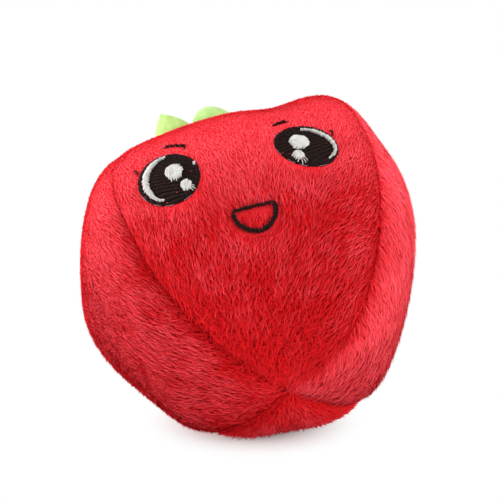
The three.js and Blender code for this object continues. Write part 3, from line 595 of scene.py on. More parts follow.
def putAttribute(piece, name, values, kind="FLOAT", domain="POINT"):
    attribute = piece.data.attributes.new(name, kind, domain)
    slotName = "vector" if kind == "FLOAT_VECTOR" else "value"
    attribute.data.foreach_set(slotName, np.asarray(values).ravel())


def makeGore(name, middle):
    downs = np.linspace(crownStart, bottomEnd, cover["rows"])
    angles, depths, deep = goreSections(downs, middle)
    rows, n = angles.shape
    down = np.repeat(downs[:, None], n, 1)
    points = bodyPoint(down, angles, depths)
    piece = newPiece(name + "_plush", points.reshape(-1, 3), tubeFaces(rows, n),
                     material=finishes["red_plush"])
    outside = np.zeros((rows - 1, n), bool)
    outside[:, :cover["columns"] - 1] = True
    putAttribute(piece, "bearsPile", [*outside.ravel(), False, False], "BOOLEAN", "FACE")

    step = 0.002
    right = unit(bodyPoint(down, angles + step, depths) - points)
    up = unit(bodyPoint(down - step, angles, depths) - points)
    heading = napHeading(napPlaces[name], down, angles)
    putAttribute(piece, "nap", heading[..., :1] * right + heading[..., 1:] * up, "FLOAT_VECTOR")
    curl = np.max([
        amount * np.exp(-(angleBetween(down, angles, math.radians(placeDown),
                                       math.radians(placeAround)) / math.radians(spread)) ** 2)
        for placeDown, placeAround, spread, amount in pile["curls"]], 0)
    trim, paler = byDown(cover["trim"], down), pile["paler"]
    dip = np.zeros(down.shape)
    dip[:, :cover["columns"]] = deep
    for label, values in {
            "bare": (bareDistance(down, angles) if name == "front_panel"
                     else np.full(down.shape, 99.0)),
            "curl": curl, "grown": trim * (1 - pile["seamShort"] * dip),
            # painted light and shade: lighter per gore and at the crown, darker in curls and seams
            "paler": (paler[name] + paler["short"] * (1 - trim) + paler["curled"] * curl
                      + paler["paintedSeamShade"] * dip)}.items():
        putAttribute(piece, label, values)

    vertex = np.empty(len(piece.data.loops), int)
    piece.data.loops.foreach_get("vertex_index", vertex)
    spots = np.stack([pile["clothTone"] + pile["clothCorner"] * (vertex % n) / n,
                      pile["clothCorner"] * (vertex // n) / rows], -1)
    piece.data.uv_layers.new(name=uvName).uv.foreach_set("vector", spots.astype(np.float32).ravel())
    return piece


# Tufts of pile: curved slivers of three sides that lie along the nap, in waves
def pileTree():
    tree, add, given = newTree("plushPile", [*pile["sizes"], *pile["shares"], "most"], ["seed"])
    place = add("GeometryNodeInputPosition")
    kinds = {"bearsPile": "BOOLEAN", "nap": "FLOAT_VECTOR", "clothNormal": "FLOAT_VECTOR"}
    read = {name: add("GeometryNodeInputNamedAttribute", [name], data_type=kinds.get(name, "FLOAT"))
            for name in (*kinds, "bare", "curl", "grown", "paler", "tone", "along")}
    kinds = {tuple: "FLOAT_VECTOR", float: "FLOAT", int: "INT"}
    random = {}
    for number, (name, (least, most)) in enumerate(pile["chance"].items(), 1):
        seed = add("ShaderNodeMath", [given["seed"], number], operation="ADD")
        random[name] = add("FunctionNodeRandomValue", [least, most, None, seed],
                           data_type=kinds[type(least)])

    # a tuft stands on its root and bends towards X: broadest at its middle, its tip drooping
    x, y, z = add("ShaderNodeSeparateXYZ", [place]).outputs
    along = add("ShaderNodeMath", [z, given["length"]], operation="DIVIDE")
    rest = add("ShaderNodeMath", [1.0, along], operation="SUBTRACT")
    swell = add("ShaderNodeMath", [rest, given["fullness"]], operation="MULTIPLY")
    wide = add("ShaderNodeMath", [swell, along, 1.0], operation="MULTIPLY_ADD")
    bend = add("ShaderNodeMath", [along, given["bend"]], operation="POWER")
    over = add("ShaderNodeMath", [bend, given["reach"]], operation="MULTIPLY")
    over = add("ShaderNodeMath", [x, wide, over], operation="MULTIPLY_ADD")
    high = add("ShaderNodeMath", [along, given["droop"], given["rise"]], operation="MULTIPLY_ADD")
    high = add("ShaderNodeMath", [high, along], operation="MULTIPLY")
    sway = add("ShaderNodeMath", [along, given["sway"]], operation="MULTIPLY")
    foot = add("ShaderNodeMath", [given["width"], half], operation="MULTIPLY")
    # each kind has a sway of its own
    slivers = add("GeometryNodeJoinGeometry")
    for kind in range(pile["kinds"]):
        cone = add("GeometryNodeMeshCone", {
            "Vertices": 3, "Side Segments": 3, "Radius Top": 0.0, "Radius Bottom": foot,
            "Depth": given["length"]}, fill_type="NGON")
        phase = add("ShaderNodeMath", [along, pile["turnsAlong"], pile["kindsApart"] * kind],
                    operation="MULTIPLY_ADD")
        aside = add("ShaderNodeMath", [add("ShaderNodeMath", [phase], operation="SINE"), sway],
                    operation="MULTIPLY")
        aside = add("ShaderNodeMath", [y, wide, aside], operation="MULTIPLY_ADD")
        kept = add("GeometryNodeStoreNamedAttribute", [cone, None, "along", along],
                   data_type="FLOAT", domain="POINT")
        bent = add("GeometryNodeSetPosition", [
            kept, None, add("ShaderNodeCombineXYZ", [over, aside, high])])
        smooth = add("GeometryNodeSetShadeSmooth", [bent, None, True])
        one = add("GeometryNodeGeometryToInstance", [smooth])
        tree.links.new(one.outputs["Instances"], slivers.inputs["Geometry"])

    # roots on the outside of the cloth
    roots = add("GeometryNodeDistributePointsOnFaces", {
        "Mesh": given["Geometry"], "Selection": firstOutput(read["bearsPile"]),
        "Distance Min": given["spacing"], "Density Max": given["most"], "Seed": given["seed"]},
        distribute_method="POISSON")

    # the lie of each tuft: the nap, bent by waves that grow where the pile curls
    lie = read["nap"]
    curled = add("ShaderNodeMath", [given["curlWave"], read["curl"]], operation="MULTIPLY")
    for size, amount in ((given["waveSize"], given["wave"]), (given["curlSize"], curled)):
        scale = add("ShaderNodeMath", [1.0, size], operation="DIVIDE")
        noise = add("ShaderNodeTexNoise", [place, scale, 2.0]).outputs["Color"]
        wave = add("ShaderNodeVectorMath", [noise, (half, half, half)], operation="SUBTRACT")
        lie = add("ShaderNodeVectorMath", [wave, amount, lie], operation="MULTIPLY_ADD")
    messy = add("ShaderNodeMath", [read["curl"], pile["messy"], 1.0], operation="MULTIPLY_ADD")
    spread = add("ShaderNodeMath", [given["scatter"], messy], operation="MULTIPLY")
    lie = add("ShaderNodeVectorMath", [random["apart"], spread, lie], operation="MULTIPLY_ADD")
    lift = add("ShaderNodeMath", [given["lift"], messy], operation="MULTIPLY")
    stand = add("ShaderNodeVectorMath", [random["tilt"], lift, roots.outputs["Normal"]],
                operation="MULTIPLY_ADD")
    turn = add("FunctionNodeAxesToRotation", [stand, lie], primary_axis="Z", secondary_axis="X")

    # tufts are shorter beside the thread and down in a seam, and few come through the thread
    ease = add("ShaderNodeMapRange", [
        read["bare"], given["bareRoom"], given["bareEase"], given["shortest"], 1.0],
        interpolation_type="SMOOTHSTEP")
    size = add("ShaderNodeMath", [ease, read["grown"]], operation="MULTIPLY")
    size = add("ShaderNodeMath", [size, random["size"]], operation="MULTIPLY")
    broad = add("ShaderNodeMath", [size, given["narrowest"]], operation="MAXIMUM")
    free = add("FunctionNodeCompare", [read["bare"], given["bareRoom"]], operation="GREATER_THAN")
    stray = add("FunctionNodeCompare", [random["stray"], given["stray"]], operation="LESS_THAN")
    grows = add("FunctionNodeBooleanMath", [free, stray], operation="OR")
    scale = add("GeometryNodeSwitch", [
        free, pile["stub"], add("ShaderNodeCombineXYZ", [size, broad, size])], input_type="VECTOR")
    made = add("GeometryNodeInstanceOnPoints", [
        roots, grows, slivers, True, random["kind"], turn, scale])

    # a tone for each tuft: clouds over the cloth and chance, plus painted light and shade
    scale = add("ShaderNodeMath", [1.0, given["toneSize"]], operation="DIVIDE")
    clouds = add("ShaderNodeTexNoise", [place, scale, 3.0])
    tone = add("ShaderNodeMath", [clouds, given["clouds"], random["tone"]],
               operation="MULTIPLY_ADD")
    tone = add("ShaderNodeMath", [tone, read["paler"]], operation="ADD")
    tone = add("ShaderNodeClamp", [tone, *pile["toneLimits"]])
    for name, value in (("tone", tone), ("clothNormal", roots.outputs["Normal"])):
        made = add("GeometryNodeStoreNamedAttribute", [made, None, name, value],
                   data_type=read[name].data_type, domain="INSTANCE")
    made = add("GeometryNodeRealizeInstances", [made])
    # none goes below the floor
    above = add("ShaderNodeVectorMath", [place, (-1, -1, 0)], operation="MAXIMUM")
    made = add("GeometryNodeSetPosition", [made, None, above])
    side = add("ShaderNodeMath", [add("GeometryNodeInputIndex"), 3.0], operation="MODULO")
    across = add("ShaderNodeMath", [side, pile["sideTone"], read["tone"]], operation="MULTIPLY_ADD")
    spot = add("ShaderNodeCombineXYZ", [across, read["along"]])
    made = add("GeometryNodeStoreNamedAttribute", [made, None, uvName, spot],
               data_type="FLOAT2", domain="CORNER")

    # light falls on the lying tufts much as on the cloth under them
    soft = add("ShaderNodeMix", [
        given["softness"], add("GeometryNodeInputNormal"), read["clothNormal"]], data_type="VECTOR")
    soft = add("ShaderNodeVectorMath", [soft], operation="NORMALIZE")
    made = add("GeometryNodeSetMeshNormal", [made, soft], mode="FREE", domain="POINT")
    joined = add("GeometryNodeJoinGeometry", [made])
    tree.links.new(given["Geometry"], joined.inputs["Geometry"])
    endTree(add, joined, given)
    return tree


plushTree = pileTree()
for number, gore in enumerate(("front_panel", "right_panel", "back_panel", "left_panel")):
    plush = runTree(makeGore(gore, number * goreSpan), plushTree, {
        **{label: size * mm for label, size in pile["sizes"].items()}, **pile["shares"],
        "most": pile["mostPerArea"] / mm ** 2, "seed": pile["seed"] + number,
        "finish": finishes["red_plush"]})
    softPiece(plush, gore)
    print("plush grown on", gore, len(plush.data.vertices), "points")


# Thread: every stitch is a strand of its own

stitch = {
    "thread": 0.2, "pitch": 0.42, "ends": (0, 0.16, 0.5, 0.84, 1), "girths": (0.7, 1, 1, 1, 0.7),
    "sinkEnds": 0.5, "crown": 0.1, "wander": 0.2, "look": 0.2, "sides": 6,
    "fillTurn": 6, "fillDepth": 0.05, "fillStart": 0.35, "fillStep": 0.3, "fillShift": 0.3,
    "line": 0.14, "lineStitch": 1.7, "lineVaries": (0.8, 1.2), "lineApart": 0.16,
}
chance = np.random.default_rng(7)


# Sweeps a round section along strands given as points in millimetres and their girths
def threadTree():
    tree, add, given = newTree("thread", ["radius"], ["sides"])
    strands = add("GeometryNodeMeshToCurve", [given["Geometry"]])
    ring = add("GeometryNodeCurvePrimitiveCircle", [given["sides"], given["radius"]])
    girth = add("GeometryNodeInputNamedAttribute", ["girth"], data_type="FLOAT")
    swept = add("GeometryNodeCurveToMesh", [strands, ring, girth, True])
    endTree(add, add("GeometryNodeSetShadeSmooth", [swept, None, True]), given)
    return tree


stitchTree = threadTree()


def sewn(name, strands, slotName, radius=stitch["thread"], sides=stitch["sides"]):
    points, edges, girths = [], [], []
    for line, girth in strands:
        start = len(points)
        points += [list(p) for p in line]
        girths += list(np.broadcast_to(girth, len(line)))
        edges += [(start + i, start + i + 1) for i in range(len(line) - 1)]
    piece = newPiece(name, points, edges=edges)
    putAttribute(piece, "girth", girths)
    return runTree(piece, stitchTree, {
        "radius": radius * mm, "sides": sides, "finish": finishes[slotName]})


# Strands as a finished piece, which stands for a node of the frame
def sewOn(name, node, strands, slotName, **size):
    return softPiece(sewn(name, strands, slotName, **size), node)


# One stitch on the face from a to b, its ends drawn down into the cloth
def faceStitch(place, a, b, top, girth=1.0):
    shares = np.array(stitch["ends"])
    flat = np.outer(1 - shares, a) + np.outer(shares, b)
    lift = np.sin(shares * math.pi) ** half
    depth = top + stitch["sinkEnds"] * (1 - lift) - stitch["crown"] * lift
    return facePoint(place, *flat.T, depth), girth * np.array(stitch["girths"])


def lengthsAlong(line):
    return np.concatenate([[0], np.cumsum(np.linalg.norm(np.diff(line, axis=0), axis=1))])


def spotAt(line, run, at):
    return np.stack([np.interp(at, run, values) for values in line.T], -1)


# Satin stitches side by side across a line, as wide as width says along it
def satinLine(place, line, width, top, slant):
    run = lengthsAlong(line)
    made = []
    for at in np.arange(stitch["pitch"] / 2, run[-1], stitch["pitch"]):
        spot = spotAt(line, run, at)
        way = unit(spotAt(line, run, at + stitch["look"]) - spotAt(line, run, at - stitch["look"]))
        side = np.array([-way[1], way[0]]) + slant * way
        wide = width(at / run[-1]) / 2
        shake = np.maximum(chance.uniform(-stitch["wander"], stitch["wander"], 2), -wide / 2)
        made.append(faceStitch(
            place, spot - side * (wide + shake[0]), spot + side * (wide + shake[1]), top))
    return made


# Two thin running stitches beside each other along a line
def runningLine(place, line, top):
    run = lengthsAlong(line)
    made = []
    for side in (-1, 1):
        start = 0.0
        while start < run[-1] - stitch["lineStitch"] / 3:
            end = min(run[-1], start + stitch["lineStitch"] * chance.uniform(*stitch["lineVaries"]))
            a, b = spotAt(line, run, start), spotAt(line, run, end)
            across = np.array([a[1] - b[1], b[0] - a[0]]) / (np.linalg.norm(b - a) + 1e-9)
            shift = side * across * stitch["lineApart"]
            made.append(faceStitch(place, a + shift, b + shift, top,
                                   stitch["line"] / stitch["thread"]))
            start = end
    return made


# Rows of stitches that fill an ellipse, along a way turned from its width
def filled(eye, halfWidth, halfHeight, way, middle, top, pitch, longest, loose=0.0):
    d = np.array([math.cos(way), math.sin(way)])
    n = np.array([-d[1], d[0]])
    size = np.array([halfWidth, halfHeight])
    reach = np.linalg.norm(n * size)
    made = []
    for number, off in enumerate(np.arange(-reach + pitch / 2, reach, pitch)):
        # the row's ends on the ellipse, with the edge a little uneven
        a = ((d / size) ** 2).sum()
        b = 2 * off * (n * d / size ** 2).sum()
        c = off ** 2 * ((n / size) ** 2).sum() - 1
        root = math.sqrt(max(0, b * b - 4 * a * c))
        low = (-b - root) / (2 * a) - loose * chance.uniform(0, 1)
        high = (-b + root) / (2 * a) + loose * chance.uniform(-half, half) * half
        # stitches start a step further on in each of three rows, like bricks
        offset = (longest * (stitch["fillStart"] + stitch["fillStep"] * (number % 3))
                  + chance.uniform(-stitch["fillShift"], stitch["fillShift"]))
        cuts = [low, *np.arange(low + offset, high - longest / 4, longest), high]
        for s, e in zip(cuts[:-1], cuts[1:]):
            lean = math.radians(chance.uniform(-1, 1) * stitch["fillTurn"]) * min(1, (e - s) / 2)
            ends = np.array([s * d + (off - lean * half) * n, e * d + (off + lean * half) * n])
            deep = top + chance.uniform(-1, 1) * stitch["fillDepth"]
            ends = turnedFlat(*ends.T, eye["tilt"]) + middle
            made.append(faceStitch(eye["place"], *ends, deep))
    return made


# Threads laid along an eye's edge: each follows some points of it from a start
def edgeThreads(eye, inset, turns, starts, count, depth, girth):
    edge = ellipseAt(eye["halfWidth"] - inset, eye["halfHeight"] - inset, eye["tilt"], turns)
    return [(facePoint(eye["place"], *edge[i:i + count].T, depth), girth) for i in starts]


# A closed pad under an eye's stitches, rounded at its edge
def padUnder(name, eye, inset, top, bottom, slotName):
    def placed(points):
        flat = turnedFlat(points[:, 0] * (eye["halfWidth"] - inset),
                          points[:, 1] * (eye["halfHeight"] - inset), eye["tilt"])
        return facePoint(eye["place"], *flat.T, points[:, 2])

    shares = np.linspace(0, 1, eyeThread["padRings"] + 1)
    profile = [(r, top + eyeThread["padRound"] * r ** 6) for r in shares]
    profile += [(r, bottom) for r in shares[::-1]]
    return turned(name, profile, slotName, segments=eyeThread["padSegments"], placed=placed)


# Depths of an eye's threads below the top of its patch, or above it where negative, and how far
# each layer stays inside the patch's edge
eyeThread = {
    "padDepth": 0.24, "padInset": 0.2, "padRound": 0.25, "padRings": 8, "padSegments": 48,
    "fillDepth": 0.14, "fillInset": 0.1, "pitch": 0.33, "length": 2.8,
    "rimDepth": 0.3, "rimInset": 0.15, "rimGirth": 0.9, "rimStarts": range(0, 112, 8),
    "rimPoints": 9, "crescentSlant": 0.2, "bobbinDepth": 0.12, "bobbinGirth": 0.14,
    "bobbinArc": (205, 325), "bobbinStarts": (1, 9, 15, 24), "bobbinPoints": 5,
    "glintTall": 1.1, "glintWay": 1.15, "glintPitch": 0.357, "glintLoose": 0.7,
    "frayedSink": 0.15, "frayedGirth": 0.6, "tickAt": (0.86, 0.16), "tick": (0.3, 1.1),
    "tickSink": 0.2, "tickGirth": 0.8,
}


def stitchEye(name, eye):
    place, w, h, sizes = eye["place"], eye["halfWidth"], eye["halfHeight"], eyeThread
    top = face["pileSink"]
    whiteTop = top - face["clearance"] - face["raised"] + stitch["thread"]

    rows = filled(eye, w - sizes["fillInset"], h - sizes["fillInset"], eye["fillWay"], (0, 0),
                  top + sizes["fillDepth"], sizes["pitch"], sizes["length"])
    rows += edgeThreads(eye, sizes["rimInset"], np.linspace(0, 2 * math.pi, 120),
                        sizes["rimStarts"], sizes["rimPoints"], top + sizes["rimDepth"],
                        sizes["rimGirth"])
    softPiece(joinPieces(name + "_stitching", [
        sewn(name + "_rows", rows, "black_thread"),
        padUnder(name + "_pad", eye, sizes["padInset"], top + sizes["padDepth"],
                 top + face["padThickness"], "black_thread")]), name + "_black")

    least, most = face["crescentEnd"], eye["crescentWidth"]
    arc = ellipseAt(w * eye["crescentSize"][0], h * eye["crescentSize"][1], eye["tilt"],
                    np.radians(np.linspace(*eye["crescent"], 50)))
    rows = satinLine(place, arc, lambda t: least + (most - least) * math.sin(math.pi * t), whiteTop,
                     sizes["crescentSlant"])
    # the bobbin's thread shows as a thin line along the lower edge
    rows += edgeThreads(eye, 0, np.radians(np.linspace(*sizes["bobbinArc"], 31)),
                        sizes["bobbinStarts"], sizes["bobbinPoints"], top + sizes["bobbinDepth"],
                        sizes["bobbinGirth"])
    sewOn(name + "_crescent_satin", name + "_crescent", rows, "white_thread")

    for label in ("glint_large", "glint_small"):
        right, up, share = eye[label]
        middle = np.array([right * w, up * h])
        rows = filled(eye, share * w, share * h * sizes["glintTall"],
                      sizes["glintWay"] - eye["fillWay"], middle, whiteTop, sizes["glintPitch"],
                      2 * w, sizes["glintLoose"])
        for angle, length in eye["frayed"] if label == "glint_small" else ():
            way = np.array([math.cos(math.radians(angle)), math.sin(math.radians(angle))])
            start = middle + way * share * w * half
            rows.append(faceStitch(place, start, start + way * length,
                                   whiteTop + sizes["frayedSink"], sizes["frayedGirth"]))
        for aside in eye["ticks"] if label == "glint_large" else ():
            start = sizes["tickAt"] * np.array([w, h]) + (aside, 0)
            rows.append(faceStitch(place, start, start + sizes["tick"],
                                   whiteTop + sizes["tickSink"], sizes["tickGirth"]))
        sewOn(f"{name}_{label}_satin", f"{name}_{label}", rows, "white_thread")

    raised = top - face["markRise"]
    rows = runningLine(place, eye["lidLine"], top + face["markRise"])
    rows += runningLine(place, eye["lidAbove"], raised)
    first = eye["lidLine"][0]
    rows += [faceStitch(place, first, first + way, raised, sizes["tickGirth"])
             for way in eye["lidEnds"]]
    sewOn(name + "_lid_thread", name + "_lid_stitch", rows, "black_thread")
    sewOn(name + "_lash_thread", name + "_lash_stitch",
          runningLine(place, eye["lashLine"], raised), "black_thread")


def mouthWidth(share):
    line = face["mouth"]
    if share > line["topFrom"]:
        return line["topLine"]
    return line["low"] + line["swell"] * math.sin(math.pi * share / line["topFrom"])


for eyeName, eye in eyes.items():
    stitchEye(eyeName, eye)
sewOn("mouth_satin", "mouth_outline_stitch", satinLine(
    mouth["place"], mouth["line"], mouthWidth, face["pileSink"] - face["mouthRise"],
    face["mouth"]["slant"]), "black_thread")
print("face stitched")


# Seams, sewn with a thread of two plies

seam = {"radius": 0.35, "depth": 4.96, "short": 1 / 12, "pitch": 1.6, "steps": 8, "sides": 5}


# Two plies that twist round a path of points
def sewPlied(name, node, path, slotName):
    run = lengthsAlong(path)
    at = np.arange(0, run[-1], seam["pitch"] / seam["steps"])
    centre = spotAt(path, run, at)
    way = unit(np.gradient(centre, axis=0))
    # any direction that the path never follows
    across = unit(np.cross(way, np.roll(way[:1], 1) + (0.3, 0.5, 0.7)))
    strands = []
    for ply in (0, half):
        turn = 2 * math.pi * (at / seam["pitch"] + ply)[:, None]
        offset = np.cos(turn) * across + np.sin(turn) * np.cross(way, across)
        strands.append((centre + seam["radius"] / 2 * offset, 1))
    sewOn(name, node, strands, slotName, radius=seam["radius"] / 2, sides=seam["sides"])


ends = crownStart + seam["short"] * goreSpan, bottomEnd - seam["short"] * goreSpan
for number, name in enumerate(("front_right", "back_right", "back_left", "front_left")):
    path = bodyPoint(np.linspace(*ends, 200), (number + half) * goreSpan, seam["depth"])
    sewPlied(f"seam_{name}_plied", f"seam_thread_{name}", path, "red_thread")
print("seams sewn")


# Felt calyx: its centre on the crown, five leaves, and the thread that ties it through

felt = {"thickness": 1.2, "calyx": 7, "clearance": 0.3, "rough": 0.1, "roughSize": 1.4}
leaf = {
    "length": 26, "halfWidth": 7.4, "rootHalfWidth": 2.2, "cup": 1.5, "widest": half, "taper": 2.4,
    "rings": 48, "fineness": 6, "across": 17, "edgeShare": 0.55, "edgePower": 8, "cutArea": 279,
    # round from the face, rise at the root, rise at the tip, how late it bends
    "lies": [(-37, 14, 88, 1), (6, 52, 140, 2), (90, 30, 60, 1), (166, 24, 46, 1),
             (-108, 20, 50, 1)],
}


def crownProfile(radius, lift):
    down = math.asin(radius / (body["radius"] * body["profile"][0]))
    reach = float(bodyReach(np.array(down), np.array(0.0)))
    return reach * math.sin(down), reach * math.cos(down) + lift


def leafWidth(share):
    if share < leaf["widest"]:
        swell = math.sin(math.pi / 2 * share / leaf["widest"])
        return leaf["rootHalfWidth"] + (leaf["halfWidth"] - leaf["rootHalfWidth"]) * swell
    tip = (share - leaf["widest"]) / (1 - leaf["widest"])
    return max(felt["thickness"] / 3, leaf["halfWidth"] * (1 - tip ** leaf["taper"]))


def makeLeaf(number, around, riseRoot, riseTip, late):
    around, riseRoot, riseTip = (math.radians(x) for x in (around, riseRoot, riseTip))
    shares = np.linspace(0, 1, leaf["rings"] * leaf["fineness"] + 1)
    rises = riseRoot + (riseTip - riseRoot) * shares ** late
    middle = (rises[1:] + rises[:-1]) / 2
    step = leaf["length"] / len(middle)
    each = slice(None, None, leaf["fineness"])
    outs, ups = (np.concatenate([[0], np.cumsum(way * step)])[each, None]
                 for way in (np.cos(middle), np.sin(middle)))
    rises = rises[each, None]
    widths = np.array([leafWidth(share) for share in shares[each]])[:, None]
    # each section goes over the upper face and back under the lower one, thinner at its edges
    across = np.sin(np.linspace(-1, 1, leaf["across"]) * math.pi / 2)
    line = np.concatenate([across, across[::-1]])
    thick = felt["thickness"] / 2 * (
        1 - (1 - leaf["edgeShare"]) * np.abs(line) ** leaf["edgePower"])
    lift = (leaf["cup"] * (widths / leaf["halfWidth"]) ** 2 * line ** 2
            + np.repeat([1, -1], leaf["across"]) * thick)
    # the leaf leans out from the calyx's edge
    out, up = crownProfile(
        felt["calyx"] + felt["clearance"], felt["clearance"] + felt["thickness"] / 2)
    out += felt["thickness"] * math.sin(riseRoot) / 2
    flat = turnedFlat(widths * line, lift * np.sin(rises) - outs - out, around)
    points = np.concatenate([flat, (ups + lift * np.cos(rises) + up)[..., None]], -1)
    piece = newPiece(f"leaf_{number}_felt", crownPoint(points.reshape(-1, 3)),
                     tubeFaces(*points.shape[:2]), material=finishes["green_felt"])
    recalculate(piece)
    return piece


# Felt, cloth and loose filling aren't quite even: draws the surface in a little, here and there
def roughTree():
    tree, add, given = newTree("uneven", ["height", "size"])
    scale = add("ShaderNodeMath", [1.0, given["size"]], operation="DIVIDE")
    noise = add("ShaderNodeTexNoise", [add("GeometryNodeInputPosition"), scale, 3.0])
    sunk = add("ShaderNodeMath", [noise, 1.0], operation="SUBTRACT")
    deep = add("ShaderNodeMath", [sunk, given["height"]], operation="MULTIPLY")
    offset = add("ShaderNodeVectorMath", [add("GeometryNodeInputNormal"), deep], operation="SCALE")
    endTree(add, add("GeometryNodeSetPosition", [given["Geometry"], None, None, offset]), given)
    return tree


unevenTree = roughTree()


def roughened(piece, height, size, slotName):
    return runTree(piece, unevenTree, {
        "height": height * mm, "size": size * mm, "finish": finishes[slotName]})


for number, lie in enumerate(leaf["lies"], 1):
    piece = roughened(makeLeaf(number, *lie), felt["rough"], felt["roughSize"], "green_felt")
    softPiece(piece, f"leaf_{number}", f"leaf_{number}")


# A knot turned from a profile on the crown's axis, with threads laid crosswise over it that bulge
# out over its middle
def crossedKnot(name, profile, turns, reach, height, bulge, thread, slotName):
    shares = np.linspace(-1, 1, 9)
    rise = height + bulge * (1 - shares ** 2)
    crossings = [(crownPoint(np.stack([shares * reach * math.cos(turn),
                                       shares * reach * math.sin(turn), rise], -1)), 1)
                 for turn in np.radians(turns)]
    core = turned(name + "_core", profile, slotName, placed=crownPoint)
    return joinPieces(name, [sewn(name + "_cross", crossings, slotName, thread), core])


tack = {"thread": 0.35, "knot": 2.4, "hole": 1.0, "bottom": 27.45, "neck": 32.25, "edge": 0.8,
        "crossTurns": (20, 65, 110, 155), "crossThread": 0.2, "bulge": half}
under, over = [], []
for radius in np.linspace(tack["hole"], felt["calyx"], 12):
    thick = felt["thickness"] * (1 if radius < felt["calyx"] else tack["edge"])
    under.append(crownProfile(radius, felt["clearance"]))
    over.append(crownProfile(radius, felt["clearance"] + thick))
centre = turned("calyx_centre_felt", under + over[::-1], "green_felt", placed=crownPoint)
softPiece(roughened(centre, felt["rough"], felt["roughSize"], "green_felt"), "calyx_centre",
          "calyx")
top, bottom = over[0][1] + felt["clearance"], tack["bottom"]
knot, neck = tack["knot"], 2 * tack["thread"]
softPiece(crossedKnot("calyx_tie", [
    (0, bottom), (knot * 0.7, bottom + 0.3), (knot, bottom + knot / 2), (knot, bottom + knot),
    (knot * 0.7, tack["neck"] - 1), (neck, tack["neck"]), (neck, top), (knot * 0.9, top + 0.05),
    (knot, top + 0.35), (knot * 0.7, top + 0.6), (0, top + 0.7)], tack["crossTurns"], knot,
    top + 0.35, tack["bulge"], tack["crossThread"], "green_thread"),
    "calyx_stitch", "calyx")
print("leaves cut")


# Closing stitch where the gores meet at the bottom

plug = {"radius": 2.4, "top": 2.9, "thick": 4.4, "thread": 0.26, "reach": 0.95, "bulge": -0.35,
        "crossTurns": (0, 36, 72, 108, 144)}
radius, low = plug["radius"], plug["top"] - body["radius"] * body["profile"][-1]
softPiece(crossedKnot("closing_knot", [
    (0, low), (radius * 0.6, low + 0.1), (radius, low + 0.7), (radius, low + 1.6),
    (radius * half, low + plug["thick"]), (0, low + plug["thick"])], plug["crossTurns"],
    radius * plug["reach"], low + 0.2, plug["bulge"], plug["thread"], "red_thread"),
    "closing_stitch")


# Inside: backing sheet, stuffing, pouch and squeaker

sheet = {"depth": 3.7, "thickness": 0.45, "margin": 8.2, "height": 40, "down": 88,
         "cells": (60, 36)}
sheetWidth = body["radius"] * goreSpan - 2 * sheet["margin"]


def makeBacking():
    place = math.radians(sheet["down"]), math.radians(face["turn"])
    across, up = (np.linspace(-half, half, cells + 1) for cells in sheet["cells"])
    x, y = np.meshgrid(across * sheetWidth, up * sheet["height"], indexing="ij")
    layers = [facePoint(place, x, y, sheet["depth"] + t) for t in (0, sheet["thickness"])]
    index = np.arange(x.size).reshape(x.shape)
    cells = np.stack([index[:-1, :-1], index[1:, :-1], index[1:, 1:], index[:-1, 1:]],
                     -1).reshape(-1, 4)
    rim = np.concatenate([index[:, 0], index[-1, 1:], index[-2::-1, -1], index[0, -2:0:-1]])
    after = np.roll(rim, -1)
    piece = newPiece("backing_sheet", np.concatenate([layer.reshape(-1, 3) for layer in layers]), [
        *cells.tolist(), *(cells[:, ::-1] + x.size).tolist(),
        *np.stack([rim, rim + x.size, after + x.size, after], -1).tolist()],
        material=finishes["backing_sheet"])
    recalculate(piece)
    return piece


backing = softPiece(makeBacking(), "embroidery_backing")

wad = {"voxel": 1.0, "rough": 0.3, "roughSize": 3.0, "fill": 0.9}


# Loose filling: the frame's form, remeshed fine and drawn in unevenly
def makeWad(node):
    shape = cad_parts[node].data.copy()
    piece = bpy.data.objects.new(node.replace("stuffing", "filling"), shape)
    bpy.context.scene.collection.objects.link(piece)
    piece.modifiers.new("weld", "WELD").merge_threshold = 0.01 * mm
    fine = piece.modifiers.new("fine", "REMESH")
    fine.mode, fine.voxel_size, fine.use_smooth_shade = "VOXEL", wad["voxel"] * mm, True
    keepModified(piece)
    for name in list(piece.keys()):
        del piece[name]
    return roughened(piece, wad["rough"], wad["roughSize"], "fibre_fill")


for node in ("stuffing_upper", "stuffing_lower"):
    piece = softPiece(makeWad(node), node)

squeaker = {"floor": 36, "radius": 17, "wall": 0.9, "cup": 6, "pleats": 9, "pleatDepth": 1.8,
            "pleatCount": 3, "pleatSteps": 16, "clearance": 0.3, "cap": 5}
start = squeaker["cup"] + squeaker["clearance"]
outer = [(squeaker["radius"] - squeaker["pleatDepth"]
          * (1 - math.cos(2 * math.pi * squeaker["pleatCount"] * share)) / 2,
          squeaker["floor"] + start + squeaker["pleats"] * share)
         for share in np.linspace(0, 1, squeaker["pleatCount"] * squeaker["pleatSteps"] + 1)]
inner = [(r - squeaker["wall"], z) for r, z in outer[::-1]]
bellows = turned("squeaker_bellows", outer + inner, "squeaker_plastic")
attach(bellows, "squeaker")
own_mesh(bellows)
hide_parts("squeaker_pleats")

pouch = {"wall": 0.7, "hem": 4, "gap": 0.3, "shoulder": 3, "neck": 4.7, "plugFloor": -7.3,
         "plugRoom": 1, "cell": 0.9, "segments": 96, "rough": 0.12, "roughSize": 2.5}
room = squeaker["clearance"]
capTop = start + squeaker["pleats"] + room + squeaker["cap"]
pouchRadius = squeaker["radius"] + room
hemHeight = squeaker["floor"] + capTop / 2
upperTop = squeaker["floor"] + capTop + room
lowerFloor = squeaker["floor"] + pouch["plugFloor"] - pouch["plugRoom"] - room


